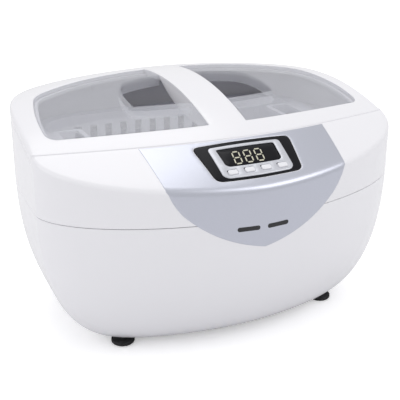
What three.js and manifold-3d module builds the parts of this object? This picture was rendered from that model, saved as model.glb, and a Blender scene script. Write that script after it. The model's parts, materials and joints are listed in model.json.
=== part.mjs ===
// Desktop ultrasonic cleaner: bowl-shaped housing, domed deck with a control fascia, hinged lid with two
// windows, tank, lift-out basket, transducers, heater, boards, fan and mains inlet.
// Millimetres, +Z up, the front towards -Y, the origin at the bottom centre of the whole object.
import * as THREE from 'three';
import { mergeVertices } from 'three/addons/utils/BufferGeometryUtils.js';
import Module from 'manifold-3d';

const wasm = await Module();
wasm.setup();

// ---- Driving dimensions ----
const width = 293;
const frontDepth = 72.5; // from the widest line to the front
const backDepth = 145.5; // from the widest line to the back wall
const crownHeight = 181;
const wall = 3;
const gap = 0.3;
const far = 400; // reach of cutting blocks, beyond everything

// Plan outline: a blunt front and a squarer back, drawn in a little towards the back
const frontPower = 1.8;
const backPower = 4.3;
const backTaper = 0.00025;
const outlineSteps = 40;

// Bowl below the walls, and the dome that forms the deck and the lid
const bowlHeight = 124;
const bowlInset = 78.5;
const bowlPower = 2.6;
const depthShare = 0.905; // how much of an inset the depth takes
const crownBehindWidest = 86.3;
const domeFall = 0.0019;
const domeRoll = 0.00062;

// Feet
const footHeight = 3;
const footRadius = 9;
const footStudRadius = 3;
const footStudHeight = 5;

// Split between the housings, and the lid's edges
const jointDrop = 70.6; // from the crown down to the split
const seamAheadOfWidest = 26.3;
const seamBow = 0.0013;
const skirtHeight = 7;

// Hinge at the back
const barrelRadius = 3.75;
const pinRadius = 1.5;
const hingeX = 62;
const lidKnuckle = 12;
const sideKnuckle = 6.5;
const hingeAxisDrop = 17.5; // from the crown down to the hinge axis

// Lid windows, centre band and finger pocket
const bandHalf = 14.6;
const windowThickness = 3;
const windowFrontSetback = 16.9; // from the seam
const windowSideMargin = 16;
const windowBackMargin = 28;
const rebate = 3;
const pocketFrontSetback = 47.9; // from the seam
const pocketHalf = 59.5;
const pocketLength = 64;
const pocketBow = 0.0022;
const pocketFlange = 2;
const pocketFlangeDepth = 9;

// Tank, gasket and basket
const tankEndMargin = 30.5;
const tankFrontSetback = 23.5; // from the seam
const tankBackMargin = 15.2;
const tankCorner = 38;
const tankFloor = 54;
const tankWall = 1.5;
const tankFlange = 6;
const rimDrop = 43; // from the crown down to the ledge
const gasketThickness = 1;
const basketClearance = 4;
const basketWall = 2;
const basketRim = 7;
const basketDepth = 74;
const handleLength = 25.7;
const handleHalf = 23;
const slotWidth = 6;
const slotPitch = 13.6;
const slotTopDrop = 8;
const slotHeight = 52;

// Controls on the deck
const fasciaHalfBack = 75.4;
const fasciaHalfFront = 71.3;
const fasciaThickness = 1.2;
const bezelHalf = 40;
const bezelBackSetback = 4; // from the seam
const bezelLength = 34;
const bezelProud = 0.5;
const faceplateHalf = 30;
const lensHalf = 24;
const lensLength = 16.6;
const buttonLength = 7.4;
const buttonWidth = 4.2;
const buttonPitch = 13.1;
const boardDepth = 9.7; // control board below the deck surface
const boardThickness = 1.6;

// Under the tank
const transducerX = 62;
const bellRadius = 24;
const stackRadius = 19;
const bellHeight = 12;
const piezoHeight = 9.5;
const massHeight = 12.5;
const boltRadius = 4;
const fanSize = 60;
const fanHeight = 15;
const fanBlades = 7;
const heaterLength = 66;
const heaterThickness = 1.5;
const inletX = 70;
const inletZ = 35;
const inletWidth = 27;
const inletHeight = 20;
const inletPanelInset = 29; // from the back of the housing to the recessed panel

// Driver board in the front compartment
const driverHalf = 58;
const driverBottom = 30;
const driverHeight = 66;
const driverAhead = 15; // from the tank's front wall to the board

// Case screws
const screwRadius = 2;
const screwHeadRadius = 4;
const columnRadius = 6.2;
const screwHeadBelow = 22; // from the split down to the underside of the head seat

// Hooks between the two housings
const hookHalf = 8;
const hookReach = 9; // below the split
const hookRoot = 12; // above the split
const hookSideY = 20;

// ---- Derived places ----
const halfWidth = width / 2;
const hingeReach = 2 * barrelRadius;
const widestY = (frontDepth - backDepth - hingeReach) / 2;
const backY = widestY + backDepth;
const baseZ = footHeight + gap;
const crownY = widestY + crownBehindWidest;
const jointZ = crownHeight - jointDrop;
const seamY = widestY - seamAheadOfWidest;
const hingeY = backY + barrelRadius;
const hingeZ = crownHeight - hingeAxisDrop;
const ledgeTop = crownHeight - rimDrop;
const gasketZ = ledgeTop + gap;
const flangeZ = gasketZ + gasketThickness + gap;
const tankRim = flangeZ + tankWall;
const tankHalf = halfWidth - tankEndMargin;
const tankFront = seamY + tankFrontSetback;
const tankBack = backY - tankBackMargin;
const tankCentreY = (tankFront + tankBack) / 2;
const tankUnder = tankFloor - tankWall;
const basketRimZ = tankRim + gap;
const bezelBack = seamY - bezelBackSetback;
const bezelFront = bezelBack - bezelLength;
const buttonY = bezelFront + 6.9;
const lensBack = bezelBack - 6.5;
const driverY = tankFront - tankWall - driverAhead;

const bezelUnder = -(fasciaThickness + 0.1);
const recessDepth = fasciaThickness + gap;

// ---- Finishes ----
const finishes = {
  gloss: { color: 0xecebf2, roughness: 0.22, metalness: 0 },
  silver: { color: 0xb9c0cb, roughness: 0.34, metalness: 0.6 },
  black: { color: 0x0c0c0f, roughness: 0.18, metalness: 0 },
  chrome: { color: 0xd5d8dd, roughness: 0.25, metalness: 0.8 },
  smoke: { color: 0x9aa3ac, roughness: 0.08, metalness: 0, transparent: true, opacity: 0.4 },
  lens: { color: 0x1b1c20, roughness: 0.12, metalness: 0 },
  cap: { color: 0xf2f2f5, roughness: 0.35, metalness: 0 },
  steel: { color: 0xc4c6c9, roughness: 0.28, metalness: 1 },
  basket: { color: 0xc9c9d0, roughness: 0.4, metalness: 0 },
  rubber: { color: 0x25262a, roughness: 0.85, metalness: 0 },
  silicone: { color: 0xd9dade, roughness: 0.7, metalness: 0 },
  board: { color: 0x1f5b3a, roughness: 0.5, metalness: 0 },
  aluminium: { color: 0xb4b6b9, roughness: 0.4, metalness: 1 },
  ceramic: { color: 0xb7a58b, roughness: 0.6, metalness: 0 },
  heater: { color: 0xb4552d, roughness: 0.6, metalness: 0 },
  dark: { color: 0x1d1e21, roughness: 0.55, metalness: 0 },
  copper: { color: 0xb5713f, roughness: 0.35, metalness: 0.9 },
};

const product = new THREE.Group();

// ---- Solid helpers ----
function solid(geometry) {
  const bare = geometry.clone();
  bare.deleteAttribute('normal');
  bare.deleteAttribute('uv');
  const merged = mergeVertices(bare, 1e-4);
  const vertProperties = new Float32Array(merged.attributes.position.array);
  const triVerts = new Uint32Array(merged.index.array);
  return new wasm.Manifold(new wasm.Mesh({ numProp: 3, vertProperties, triVerts }));
}

function geometryOf(shape) {
  const mesh = shape.getMesh();
  const geometry = new THREE.BufferGeometry();
  geometry.setAttribute('position', new THREE.BufferAttribute(new Float32Array(mesh.vertProperties), 3));
  geometry.setIndex(new THREE.BufferAttribute(new Uint32Array(mesh.triVerts), 1));
  return geometry;
}

function moved(shape, matrix) {
  return solid(geometryOf(shape).applyMatrix4(matrix));
}

// The same shape on the other side of the X = 0 plane, its faces turned back to face out
function mirrored(shape) {
  const geometry = geometryOf(shape).scale(-1, 1, 1);
  const index = geometry.index.array;
  for (let i = 0; i < index.length; i += 3) {
    [index[i], index[i + 1]] = [index[i + 1], index[i]];
  }
  return solid(geometry);
}

function bothSides(shape) {
  return shape.add(mirrored(shape));
}

function unite(solids) {
  return solids.reduce((sum, next) => sum.add(next));
}

function addNode(name, shape, finish) {
  const geometry = geometryOf(shape);
  geometry.computeVertexNormals();
  const node = new THREE.Mesh(geometry, new THREE.MeshStandardMaterial(finishes[finish]));
  node.name = name;
  product.add(node);
}

function block(x0, x1, y0, y1, z0, z1) {
  const geometry = new THREE.BoxGeometry(x1 - x0, y1 - y0, z1 - z0);
  geometry.translate((x0 + x1) / 2, (y0 + y1) / 2, (z0 + z1) / 2);
  return solid(geometry);
}

function post(x, y, z0, z1, radius, sides = 12) {
  const geometry = new THREE.CylinderGeometry(radius, radius, z1 - z0, sides);
  geometry.rotateX(Math.PI / 2);
  geometry.translate(x, y, (z0 + z1) / 2);
  return solid(geometry);
}

function barrel(x0, x1, radius, sides = 16) {
  const geometry = new THREE.CylinderGeometry(radius, radius, x1 - x0, sides);
  geometry.rotateZ(Math.PI / 2);
  geometry.translate((x0 + x1) / 2, hingeY, hingeZ);
  return solid(geometry);
}

// A turned piece about a vertical axis; the profile runs from the axis, round and back to it
function turned(profile, x, y, sides = 20) {
  const points = profile.map(([radius, z]) => new THREE.Vector2(radius, z));
  const geometry = new THREE.LatheGeometry(points, sides);
  geometry.rotateX(Math.PI / 2);
  geometry.translate(x, y, 0);
  return solid(geometry);
}

function prism(shape, z0, z1, curveSegments = 4) {
  const settings = { depth: z1 - z0, bevelEnabled: false, curveSegments };
  const geometry = new THREE.ExtrudeGeometry(shape, settings);
  geometry.translate(0, 0, z0);
  return solid(geometry);
}

function polygon(points) {
  return new THREE.Shape(points.map(([x, y]) => new THREE.Vector2(x, y)));
}

function roundedRectangle(x0, x1, y0, y1, corner) {
  const shape = new THREE.Shape();
  shape.moveTo(x0 + corner, y0);
  shape.lineTo(x1 - corner, y0);
  shape.absarc(x1 - corner, y0 + corner, corner, -Math.PI / 2, 0, false);
  shape.absarc(x1 - corner, y1 - corner, corner, 0, Math.PI / 2, false);
  shape.absarc(x0 + corner, y1 - corner, corner, Math.PI / 2, Math.PI, false);
  shape.absarc(x0 + corner, y0 + corner, corner, Math.PI, 1.5 * Math.PI, false);
  return shape;
}

// Closed skin through rings of equal length, capped flat at both ends
function loft(rings) {
  const count = rings[0].length;
  const points = rings.flat();
  const index = [];
  for (let ring = 0; ring < rings.length - 1; ring += 1) {
    for (let i = 0; i < count; i += 1) {
      const a = ring * count + i;
      const b = ring * count + ((i + 1) % count);
      index.push(a, b, b + count, a, b + count, a + count);
    }
  }
  const last = (rings.length - 1) * count;
  for (let i = 1; i < count - 1; i += 1) {
    index.push(0, i + 1, i);
    index.push(last, last + i, last + i + 1);
  }
  const geometry = new THREE.BufferGeometry();
  geometry.setAttribute('position', new THREE.Float32BufferAttribute(points.flat(), 3));
  geometry.setIndex(index);
  return solid(geometry);
}

// ---- Body form ----
function bowlInsetAt(height) {
  const t = Math.max(0, 1 - height / bowlHeight);
  return bowlInset * (1 - (1 - t ** bowlPower) ** (1 / bowlPower));
}

function planPoint(angle, inset, z) {
  const c = Math.cos(angle);
  const s = Math.sin(angle);
  const power = s > 0 ? backPower : frontPower;
  const depth = (s > 0 ? backDepth : frontDepth) - depthShare * inset;
  const y = depth * Math.sign(s) * Math.abs(s) ** (2 / power);
  const x = (halfWidth - inset) * Math.sign(c) * Math.abs(c) ** (2 / power);
  return [x * (1 - backTaper * y), widestY + y, z];
}

function domeZ(x, y) {
  return crownHeight - domeFall * (y - crownY) ** 2 - domeRoll * x ** 2;
}

function deckSlope(y) {
  return Math.atan(-2 * domeFall * (y - crownY));
}

function seamAt(x) {
  return seamY + seamBow * x ** 2;
}

// A block over the whole plan whose top and bottom run at set heights above the dome
function domeLayer(top, bottom) {
  const steps = 8;
  const reach = halfWidth + 5;
  const y0 = widestY - frontDepth - 5;
  const y1 = hingeY + 10;
  const rows = [];
  for (let j = 0; j <= steps; j += 1) {
    const y = y0 + ((y1 - y0) * j) / steps;
    const xs = Array.from({ length: steps + 1 }, (_, i) => (2 * reach * i) / steps - reach);
    const upper = xs.map((x) => [x, y, domeZ(x, y) + top]);
    const lower = xs.map((x) => [x, y, domeZ(x, y) + bottom]).reverse();
    rows.push([...upper, ...lower]);
  }
  return gridBlock(rows, steps + 1);
}

// Closes a run of cross-sections, each an upper edge then a lower edge of equal length
function gridBlock(rows, half) {
  const count = 2 * half;
  const index = [];
  for (let j = 0; j < rows.length - 1; j += 1) {
    for (let i = 0; i < count; i += 1) {
      const a = j * count + i;
      const b = j * count + ((i + 1) % count);
      index.push(a, b, b + count, a, b + count, a + count);
    }
  }
  const last = (rows.length - 1) * count;
  for (let i = 0; i < half - 1; i += 1) {
    const opposite = count - 1 - i;
    index.push(i, opposite, i + 1, i + 1, opposite, opposite - 1);
    index.push(last + i, last + i + 1, last + opposite);
    index.push(last + i + 1, last + opposite - 1, last + opposite);
  }
  const geometry = new THREE.BufferGeometry();
  geometry.setAttribute('position', new THREE.Float32BufferAttribute(rows.flat(2), 3));
  geometry.setIndex(index);
  return solid(geometry);
}

// The whole outer form, drawn in by an even inset on every side
function body(inset) {
  const levels = [0, 0.04, 0.12, 0.28, 0.56, 1];
  const heights = levels.map((share) => baseZ + share * (bowlHeight - baseZ));
  const rings = heights.map((z) => ring(bowlInsetAt(z) + inset, z + inset));
  rings.push(ring(inset, crownHeight + 20));
  return loft(rings).intersect(domeLayer(-inset, -far));
}

function ring(inset, z) {
  const turn = (2 * Math.PI) / outlineSteps;
  return Array.from({ length: outlineSteps }, (_, i) => planPoint(i * turn, inset, z));
}

// Everything behind the lid seam, moved back by a set amount
function behindSeam(offset) {
  const points = [];
  for (let x = -halfWidth - 10; x <= halfWidth + 11; x += 12) {
    points.push([x, seamAt(x) + offset]);
  }
  points.push([far, far], [-far, far]);
  return prism(polygon(points), -20, crownHeight + 40);
}

const outer = body(0);
const inner = body(wall);

// ---- Lid ----
function windowShape(grow) {
  const inside = bandHalf + 1 - grow;
  const side = halfWidth - windowSideMargin + grow;
  const back = backY - windowBackMargin + grow;
  const frontAt = (x) => seamAt(x) + windowFrontSetback - grow;
  const shape = new THREE.Shape();
  const frontEnd = side - 6;
  shape.moveTo(inside, frontAt(inside));
  for (let step = 1; step <= 5; step += 1) {
    const x = inside + ((frontEnd - inside) * step) / 5;
    shape.lineTo(x, frontAt(x));
  }
  shape.quadraticCurveTo(side - 0.5, frontAt(side) + 2, side, frontAt(side) + 8);
  shape.quadraticCurveTo(side + 1, 8, side - 9.5, back - 34);
  shape.quadraticCurveTo(side - 14, back - 22, side - 26, back - 18);
  shape.quadraticCurveTo(halfWidth / 2, back, inside, back);
  return shape;
}

function pocketShape(grow) {
  const front = seamY + pocketFrontSetback - grow;
  const half = pocketHalf + grow;
  const back = front + pocketLength + 2 * grow;
  const shape = new THREE.Shape();
  const steps = 6;
  shape.moveTo(-half, front + pocketBow * half ** 2);
  for (let step = 1; step <= steps; step += 1) {
    const x = -half + (2 * half * step) / steps;
    shape.lineTo(x, front + pocketBow * x ** 2);
  }
  shape.quadraticCurveTo(half + 3.5, front + 36, half - 9, back - 9);
  shape.quadraticCurveTo(half / 2, back, 0, back);
  shape.quadraticCurveTo(-half / 2, back, 9 - half, back - 9);
  shape.quadraticCurveTo(-half - 3.5, front + 36, -half, front + pocketBow * half ** 2);
  return shape;
}

function full(shape) {
  return prism(shape, -20, crownHeight + 40);
}

function lidWindow() {
  const outline = full(windowShape(0));
  const hole = full(pocketShape(0));
  const flange = full(pocketShape(pocketFlange)).intersect(domeLayer(0, -pocketFlangeDepth));
  const clearOfBand = block(bandHalf + 1, far, -far, far, 0, far);
  const pane = domeLayer(0, -windowThickness).intersect(outline);
  return pane.add(flange.intersect(clearOfBand)).subtract(hole);
}

// Side walls of the centre band: shallow at the back of the pocket, deep in front of it
function bandWeb() {
  const front = seamY + 6;
  const back = backY - 12;
  const pocketBack = seamY + pocketFrontSetback + pocketLength;
  const deep = crownHeight - 23.5;
  const profile = new THREE.Shape();
  profile.moveTo(front, crownHeight + 5);
  profile.lineTo(front, deep - 2);
  profile.lineTo(seamY + 46, deep);
  profile.quadraticCurveTo(pocketBack - 30, deep + 2, pocketBack - 2, crownHeight - 5);
  profile.lineTo(back, crownHeight - 9);
  profile.lineTo(back, crownHeight + 5);
  const geometry = new THREE.ExtrudeGeometry(profile, { depth: 2.5, bevelEnabled: false, curveSegments: 6 });
  geometry.rotateY(Math.PI / 2);
  geometry.rotateX(Math.PI / 2);
  geometry.translate(bandHalf - 2.5, 0, 0);
  return solid(geometry);
}

function lidKnuckleSolid() {
  const x0 = hingeX - lidKnuckle / 2;
  const x1 = hingeX + lidKnuckle / 2;
  const arm = block(x0, x1, backY - 3.5, hingeY, hingeZ - 2.5, hingeZ + barrelRadius);
  return barrel(x0, x1, barrelRadius).add(arm).subtract(barrel(x0 - 1, x1 + 1, pinRadius + gap));
}

function lidNotches() {
  const x0 = hingeX - lidKnuckle / 2;
  const x1 = hingeX + lidKnuckle / 2;
  const reach = sideKnuckle + 3 * gap;
  const top = hingeZ + barrelRadius + 0.5;
  const near = block(x0 - reach, x0, backY - 7, hingeY + 9, hingeZ - far, top);
  return near.add(block(x1, x1 + reach, backY - 7, hingeY + 9, hingeZ - far, top));
}

function lidFrame() {
  const zone = behindSeam(gap / 2);
  const edge = domeLayer(5, -skirtHeight);
  const skin = outer.subtract(inner).intersect(edge);
  const front = outer.intersect(edge).subtract(behindSeam(gap / 2 + wall));
  const rimBand = full(windowShape(2.5)).subtract(full(windowShape(-rebate)));
  const rim = bothSides(rimBand).intersect(domeLayer(-1, -6)).subtract(full(pocketShape(pocketFlange + gap)));
  const webs = bothSides(bandWeb()).intersect(domeLayer(-1, -far));
  const frame = unite([skin, front, rim, webs]).intersect(zone);
  const through = bothSides(full(windowShape(-rebate)));
  const seat = bothSides(full(windowShape(gap))).intersect(domeLayer(5, -windowThickness - gap));
  const web = bothSides(bandWeb()).intersect(domeLayer(-1, -far)).intersect(zone);
  const opened = frame.subtract(through).subtract(seat).add(web);
  return opened.subtract(bothSides(lidNotches())).add(bothSides(lidKnuckleSolid()));
}

// ---- Controls ----
function fasciaRegion(grow) {
  const halfBack = fasciaHalfBack + grow;
  const halfFront = fasciaHalfFront + grow;
  const frontY = widestY - frontDepth - 5;
  const creaseZ = domeZ(0, widestY - frontDepth);
  const corners = [[-halfFront, frontY], [halfFront, frontY], [halfBack, seamY + 12], [-halfBack, seamY + 12]];
  const deck = prism(polygon(corners), creaseZ + 4 - grow, crownHeight + 5);
  const shield = new THREE.Shape();
  shield.moveTo(-halfFront, creaseZ + 8);
  shield.quadraticCurveTo(-halfFront + 1, creaseZ - 3, -60 - grow, creaseZ - 15 - grow);
  shield.quadraticCurveTo(-36 - grow, creaseZ - 38 - grow, 0, creaseZ - 45 - grow);
  shield.quadraticCurveTo(36 + grow, creaseZ - 38 - grow, 60 + grow, creaseZ - 15 - grow);
  shield.quadraticCurveTo(halfFront - 1, creaseZ - 3, halfFront, creaseZ + 8);
  const geometry = new THREE.ExtrudeGeometry(shield, { depth: 40, bevelEnabled: false, curveSegments: 8 });
  geometry.rotateX(Math.PI / 2);
  geometry.translate(0, frontY + 40, 0);
  return deck.add(solid(geometry)).subtract(behindSeam(-gap - 1 + grow));
}

function bezelShape(grow) {
  const half = bezelHalf + grow;
  return taperedPlate(half, half - 5, bezelFront - grow, bezelBack + grow, 5 + grow);
}

// A plate outline wider at the back than at the front, with rounded corners and a bowed front edge
function taperedPlate(halfBack, halfFront, front, back, corner) {
  const bow = 0.0013 * halfFront ** 2;
  const shape = new THREE.Shape();
  shape.moveTo(-halfFront + corner, front + bow);
  shape.quadraticCurveTo(0, front - bow, halfFront - corner, front + bow);
  shape.quadraticCurveTo(halfFront, front + bow + 1, halfFront + 0.6, front + bow + corner);
  shape.lineTo(halfBack - 0.6, back - corner);
  shape.quadraticCurveTo(halfBack, back, halfBack - corner, back);
  shape.lineTo(-halfBack + corner, back);
  shape.quadraticCurveTo(-halfBack, back, -halfBack + 0.6, back - corner);
  shape.lineTo(-halfFront - 0.6, front + bow + corner);
  shape.quadraticCurveTo(-halfFront, front + bow + 1, -halfFront + corner, front + bow);
  return shape;
}

function faceplateShape(grow) {
  const half = faceplateHalf + grow;
  return taperedPlate(half, half - 2, bezelFront + 1.7 - grow, bezelBack - 4 + grow, 4);
}

function lensShape(grow) {
  return taperedPlate(lensHalf + grow, lensHalf - 2 + grow, lensBack - lensLength - grow, lensBack + grow, 2);
}

// Places a solid drawn about the origin on the deck, its Z along the deck's outward normal
function onDeck(shape, x, y) {
  const matrix = new THREE.Matrix4().makeRotationX(deckSlope(y));
  return moved(shape, matrix.setPosition(x, y, domeZ(x, y)));
}

const buttonNames = ['start_button', 'stop_button', 'time_button', 'heat_button'];
const buttonXs = buttonNames.map((_, i) => (i - 1.5) * buttonPitch);

function buttonBlock(grow, bottom, top) {
  const halfLength = buttonLength / 2 + grow;
  const halfDepth = buttonWidth / 2 + grow;
  return prism(roundedRectangle(-halfLength, halfLength, -halfDepth, halfDepth, 1.2), bottom, top, 2);
}

function button(x) {
  const cap = buttonBlock(0, -2.4, 1.9);
  const flange = buttonBlock(1, -2.7, -1.95);
  const stem = post(0, 0, -6.4, -2.5, 1.5, 8);
  return onDeck(unite([cap, flange, stem]), x, buttonY);
}

function buttonHoles() {
  return unite(buttonXs.map((x) => onDeck(buttonBlock(gap, -8, 8), x, buttonY)));
}

// Black surround, with a shallow recess that the faceplate sits in
function displayBezel() {
  const recess = full(faceplateShape(gap)).intersect(domeLayer(5, bezelProud - 0.7));
  const plate = full(bezelShape(0)).intersect(domeLayer(bezelProud, bezelUnder));
  return plate.subtract(full(lensShape(gap))).subtract(buttonHoles()).subtract(recess);
}

// Silver plate with a window for the lens and a hole for each button
function displayFaceplate() {
  const plate = full(faceplateShape(0)).intersect(domeLayer(bezelProud + 0.5, bezelProud - 0.4));
  return plate.subtract(full(lensShape(gap))).subtract(buttonHoles());
}

const boardY = bezelBack - 15;

function displayModule() {
  return onDeck(block(-23, 23, -9.5, 9.5, gap - boardDepth, -2.4), 0, lensBack - lensLength / 2);
}

function controlBoard() {
  const plate = onDeck(block(-38, 38, -21, 9, -boardDepth - boardThickness, -boardDepth), 0, boardY);
  const switches = buttonXs.map((x) => onDeck(block(-3, 3, -3, 3, -boardDepth - 0.8, 0.35 - 8.2), x, buttonY));
  return unite([plate, ...switches]);
}

function boardPosts() {
  const places = [[-34, -17], [34, -17], [-34, 5], [34, 5]];
  return unite(places.map(([x, v]) => onDeck(post(x, v, gap - boardDepth, -2.4, 3, 8), 0, boardY)));
}

// ---- Housings ----
const screwPlaces = [[-74, widestY - 18], [74, widestY - 18]];
const footPlaces = [[-88, widestY - 10], [88, widestY - 10], [-84, widestY + 88], [84, widestY + 88]];

// A thin rib from a screw column forward into the front wall
function frontRib(x, y, z0, z1) {
  return block(x - 1.25, x + 1.25, y - 45, y, z0, z1);
}

// Three blocks along the back wall and one on each side wall
function hookBlocks(z0, z1) {
  const back = [-60, 0, 60].map((x) => block(x - hookHalf, x + hookHalf, backY - 7, backY, z0, z1));
  const side = block(halfWidth - 10, halfWidth - 1, hookSideY - hookHalf, hookSideY + hookHalf, z0, z1);
  return unite([...back, bothSides(side)]);
}

// Hooks inside the back and side walls that hold the upper housing down on the lower one
function hooks() {
  return hookBlocks(jointZ - hookReach, jointZ + hookRoot).intersect(body(wall + gap));
}

// Ties the hooks to the upper wall above the split
function hookRoots() {
  return hookBlocks(jointZ + 1, jointZ + hookRoot).intersect(body(1));
}

function upperHousing() {
  const above = block(-far, far, -far, far, jointZ + gap / 2, far);
  const behind = behindSeam(-wall - gap / 2);
  const core = body(1);
  const ledge = core.intersect(behind).intersect(block(-far, far, -far, far, ledgeTop - wall, ledgeTop));
  const splash = core.intersect(behind).subtract(behindSeam(-gap / 2));
  const splashWall = splash.intersect(block(-far, far, -far, far, ledgeTop - wall, far));
  const bosses = screwPlaces.map((place) => upperBoss(place));
  const solids = [outer.subtract(inner), ledge, splashWall, ...bosses, boardPosts().intersect(core)];
  const lidZone = behindSeam(-gap / 2).intersect(domeLayer(far, -skirtHeight - gap));
  const recess = fasciaRegion(gap).subtract(body(recessDepth));
  const deckHole = full(taperedPlate(28.5, 28.5, bezelFront + 1.5, bezelBack - 4, 2));
  const tankHole = full(tankOutline(tankWall + 0.8));
  const cut = unite([lidZone, recess, deckHole.intersect(domeLayer(5, -20)), tankHole, ...pilotHoles()]);
  const shell = unite(solids).intersect(above).subtract(cut).subtract(bothSides(housingNotch()));
  return unite([shell, bothSides(housingKnuckles()), hooks(), hookRoots()]);
}

function upperBoss([x, y]) {
  const bottom = jointZ + gap / 2;
  const top = ledgeTop - 1;
  const shapes = post(x, y, bottom, top, columnRadius - 1).add(frontRib(x, y, bottom, top));
  return shapes.intersect(body(1));
}

function pilotHoles() {
  return screwPlaces.map(([x, y]) => post(x, y, jointZ - 5, jointZ + 14, screwRadius + gap, 8));
}

function housingKnuckles() {
  const x0 = hingeX - lidKnuckle / 2 - gap;
  const x1 = hingeX + lidKnuckle / 2 + gap;
  const spans = [[x0 - sideKnuckle, x0], [x1, x1 + sideKnuckle]];
  const arms = spans.map(([a, b]) => block(a, b, backY - 4, hingeY, hingeZ - barrelRadius, hingeZ + 1));
  const barrels = spans.map(([a, b]) => barrel(a, b, barrelRadius));
  return unite([...arms, ...barrels]).subtract(barrel(x0 - far, x1 + far, pinRadius + gap));
}

function housingNotch() {
  const x0 = hingeX - lidKnuckle / 2 - gap;
  const x1 = hingeX + lidKnuckle / 2 + gap;
  return block(x0, x1, backY - 9, hingeY + 9, hingeZ - barrelRadius - 0.6, far);
}

function lowerColumn([x, y]) {
  const top = jointZ - gap / 2;
  return post(x, y, 0, top, columnRadius).add(frontRib(x, y, 0, top)).intersect(body(1));
}

function screwBore([x, y]) {
  const seat = jointZ - screwHeadBelow;
  const well = post(x, y, -1, seat, screwHeadRadius + gap, 12);
  return well.add(post(x, y, seat - 1, jointZ + 1, screwRadius + gap, 8));
}

function footBoss([x, y]) {
  return post(x, y, footHeight + gap, 20, footRadius + 1.5, 16);
}

function footSocket([x, y]) {
  return post(x, y, 0, footHeight + footStudHeight + gap, footStudRadius + gap, 10);
}

function inletHousing() {
  const half = inletWidth / 2;
  const tall = inletHeight / 2;
  const panelY = backY - inletPanelInset;
  const box = block(inletX - half - 7, inletX + half + 7, panelY - 3, far, inletZ - tall - 7, inletZ + tall + 7);
  return box.intersect(outer);
}

function inletCuts() {
  const half = inletWidth / 2;
  const tall = inletHeight / 2;
  const panelY = backY - inletPanelInset;
  const recess = block(inletX - half - 4, inletX + half + 4, panelY, far, inletZ - tall - 4, inletZ + tall + 4);
  const sides = [inletX - half - gap, inletX + half + gap];
  const hole = block(...sides, panelY - 9, panelY + 1, inletZ - tall - gap, inletZ + tall + gap);
  return recess.add(hole);
}

// Rows of slots under the fan, each as long as the circle allows
function fanGrille() {
  const slots = [];
  for (let row = -3; row <= 3; row += 1) {
    const reach = Math.sqrt(26 ** 2 - (row * 7.2) ** 2);
    const x = row * 7.2;
    slots.push(block(x - 1.9, x + 1.9, tankCentreY - reach, tankCentreY + reach, -1, baseZ + wall + 1));
  }
  return unite(slots);
}

// Louvres low in the back wall
function backVents() {
  const slots = [];
  for (let i = 0; i < 9; i += 1) {
    const x = -84 + i * 9;
    slots.push(block(x, x + 3.4, backY - 40, far, 48, 78));
  }
  return unite(slots);
}

function cardGuides() {
  const half = driverHalf;
  const y0 = driverY - boardThickness / 2;
  const y1 = driverY + boardThickness / 2;
  const rail = block(half - 4, half + 4, y0 - 3, y1 + 3, 0, driverBottom + 34).intersect(body(1));
  const slot = block(half - 9, half + gap, y0 - gap, y1 + gap, driverBottom - gap, far);
  return bothSides(rail.subtract(slot));
}

function fanPins() {
  const reach = fanSize / 2 - 5;
  const corners = [[-reach, -reach], [reach, -reach], [-reach, reach], [reach, reach]];
  const top = baseZ + wall + fanHeight + 1.5;
  return unite(corners.map(([x, y]) => post(x, tankCentreY + y, baseZ + 1, top, 1.8, 8)));
}

function lowerHousing() {
  const below = block(-far, far, -far, far, -far, jointZ - gap / 2);
  const columns = screwPlaces.map((place) => lowerColumn(place));
  const bosses = footPlaces.map((place) => footBoss(place));
  const added = [outer.subtract(inner), ...columns, ...bosses, inletHousing(), cardGuides(), fanPins()];
  const bores = screwPlaces.map((place) => screwBore(place));
  const sockets = footPlaces.map((place) => footSocket(place));
  const recess = fasciaRegion(gap).subtract(body(recessDepth));
  const cuts = [...bores, ...sockets, recess, inletCuts(), fanGrille(), backVents()];
  return unite(added).intersect(below).subtract(unite(cuts));
}

function foot([x, y]) {
  const top = footHeight;
  const stud = footHeight + footStudHeight;
  const profile = [[0, 0], [footRadius - 1, 0], [footRadius, 1], [footRadius, top], [footStudRadius, top]];
  return turned([...profile, [footStudRadius, stud], [0, stud]], x, y, 16);
}

function caseScrew([x, y]) {
  const seat = jointZ - screwHeadBelow - gap;
  const head = post(x, y, seat - 3, seat, screwHeadRadius, 12);
  const shank = post(x, y, seat - 1, jointZ + 13, screwRadius, 8);
  const slot = block(x - 2.5, x + 2.5, y - 0.6, y + 0.6, seat - 4, seat - 1.8);
  return head.add(shank).subtract(slot);
}

// ---- Tank and basket ----
function tankOutline(grow) {
  const half = tankHalf + grow;
  return roundedRectangle(-half, half, tankFront - grow, tankBack + grow, tankCorner + grow);
}

// A tub form between two heights, drawn in towards a rounded floor
function tub(grow, floorZ, topZ) {
  const inset = [[9, 0], [4.5, 3], [2.6, 9], [0, topZ - floorZ]];
  const rings = inset.map(([inward, rise]) => tubRing(grow - inward, floorZ + rise));
  return loft(rings);
}

function tubRing(grow, z) {
  const points = tankOutline(grow).extractPoints(5).shape;
  const unique = points.filter((p, i) => p.distanceTo(points[(i + 1) % points.length]) > 1e-3);
  return unique.map((p) => [p.x, p.y, z]);
}

function tank() {
  const shell = tub(tankWall, tankUnder, tankRim);
  const flange = prism(tankOutline(tankFlange), flangeZ, tankRim, 5);
  const hollow = tub(0, tankFloor, tankRim + 0.01);
  const mouth = prism(tankOutline(0), tankRim - 0.5, tankRim + 5, 5);
  return shell.add(flange).subtract(hollow).subtract(mouth);
}

function tankGasket() {
  const outerEdge = prism(tankOutline(tankFlange - 0.5), gasketZ, gasketZ + gasketThickness, 5);
  return outerEdge.subtract(prism(tankOutline(tankWall + 1), gasketZ - 1, gasketZ + 5, 7));
}

function slotRow(count, make) {
  const slots = [];
  for (let i = 0; i < count; i += 1) {
    slots.push(make((i - (count - 1) / 2) * slotPitch));
  }
  return unite(slots);
}

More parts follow.
